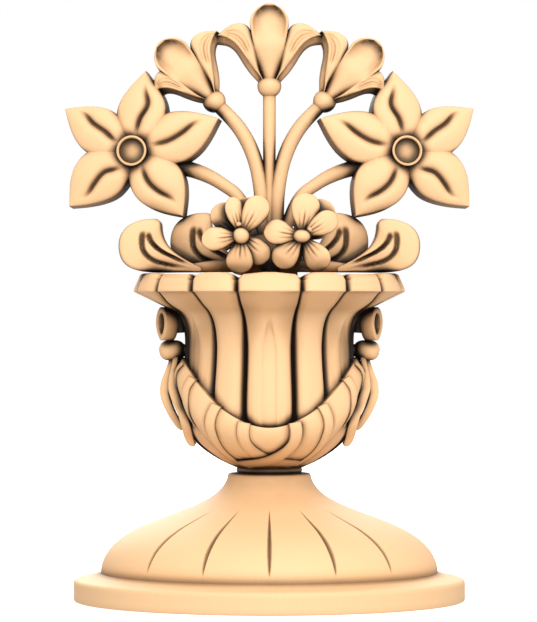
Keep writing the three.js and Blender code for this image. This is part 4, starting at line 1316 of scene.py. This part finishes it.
def lay_floor():
    deselect()
    bpy.ops.mesh.primitive_plane_add(size=30, location=(0, 0, -0.0003))
    floor = bpy.context.object
    floor.name = "floor"
    bpy.ops.object.transform_apply(location=True, rotation=True, scale=True)
    floor.data.materials.append(white_paper("white_paper_floor", "F0F0F0", 0.8))
    keep_to_camera(floor)
    deselect()
    bpy.ops.mesh.primitive_uv_sphere_add(segments=48, ring_count=24, radius=14)
    room = bpy.context.object
    room.name = "room"
    room.data.materials.append(white_paper("white_paper_room", "101010", 1.0))
    keep_to_camera(room)


def soft_light(name, place, target, size, power):
    bpy.ops.object.light_add(type="AREA", location=place)
    light = bpy.context.object
    light.name = name
    light.data.shape = "DISK"
    light.data.size = size
    light.data.energy = power
    light.rotation_euler = (Vector(target) - Vector(place)).to_track_quat("-Z", "Y").to_euler()


def set_lights(scene):
    world = bpy.data.worlds.new("studio")
    world.use_nodes = True
    sky = world.node_tree.nodes["Background"]
    sky.inputs["Color"].default_value = (1, 1, 1, 1)
    sky.inputs["Strength"].default_value = 0.75
    scene.world = world
    scene.view_settings.view_transform = "Standard"
    middle = (0, 0, 0.18)
    soft_light("front", (0.3, -2.3, 1.5), middle, 2.4, 74)
    soft_light("back", (-0.3, 2.3, 1.5), middle, 2.4, 50)


# The photograph's view: level, a little over two metres in front of the middle
CAMERA_PLACE = (-0.0005, -2.235, 0.1734)
VIEW_HEIGHT = 0.3732


def set_camera(scene):
    camera = bpy.data.cameras.new("camera")
    camera.sensor_width = 36
    camera.lens = camera.sensor_width * -CAMERA_PLACE[1] / VIEW_HEIGHT
    camera.clip_end = 100
    holder = bpy.data.objects.new("camera", camera)
    scene.collection.objects.link(holder)
    holder.location = CAMERA_PLACE
    holder.rotation_euler = (math.pi / 2, 0, 0)
    scene.camera = holder


class URN_PT_panel(bpy.types.Panel):
    """The steps that build the urn ornament"""

    bl_label = "Carved urn"
    bl_idname = "URN_PT_panel"
    bl_space_type = "VIEW_3D"
    bl_region_type = "UI"
    bl_category = "Urn"

    def draw(self, context):
        for name in ("urn_foot", "urn_bowl", "urn_bouquet", "urn_finish"):
            group = getattr(context.scene, name)
            for key in group.bl_rna.properties.keys():
                if key not in ("rna_type", "name"):
                    self.layout.prop(group, key)
        for operator in OPERATORS:
            self.layout.operator(operator.bl_idname)


OPERATORS = [URN_OT_foot, URN_OT_urn, URN_OT_bouquet, URN_OT_recess_shade, URN_OT_stage]
GROUPS = {
    "urn_foot": FootSizes,
    "urn_bowl": UrnSizes,
    "urn_bouquet": BouquetSizes,
    "urn_finish": FinishColours,
}


def register():
    for kind in (*GROUPS.values(), *OPERATORS, URN_PT_panel):
        bpy.utils.register_class(kind)
    for name, group in GROUPS.items():
        setattr(bpy.types.Scene, name, bpy.props.PointerProperty(type=group))


def unregister():
    for name in GROUPS:
        delattr(bpy.types.Scene, name)
    for kind in (URN_PT_panel, *OPERATORS, *GROUPS.values()):
        bpy.utils.unregister_class(kind)


def main():
    register()
    bpy.ops.urn_ornament.foot()
    bpy.ops.urn_ornament.urn()
    bpy.ops.urn_ornament.bouquet()
    bpy.ops.urn_ornament.glaze()
    bpy.ops.urn_ornament.stage()


if __name__ == "__main__":
    main()
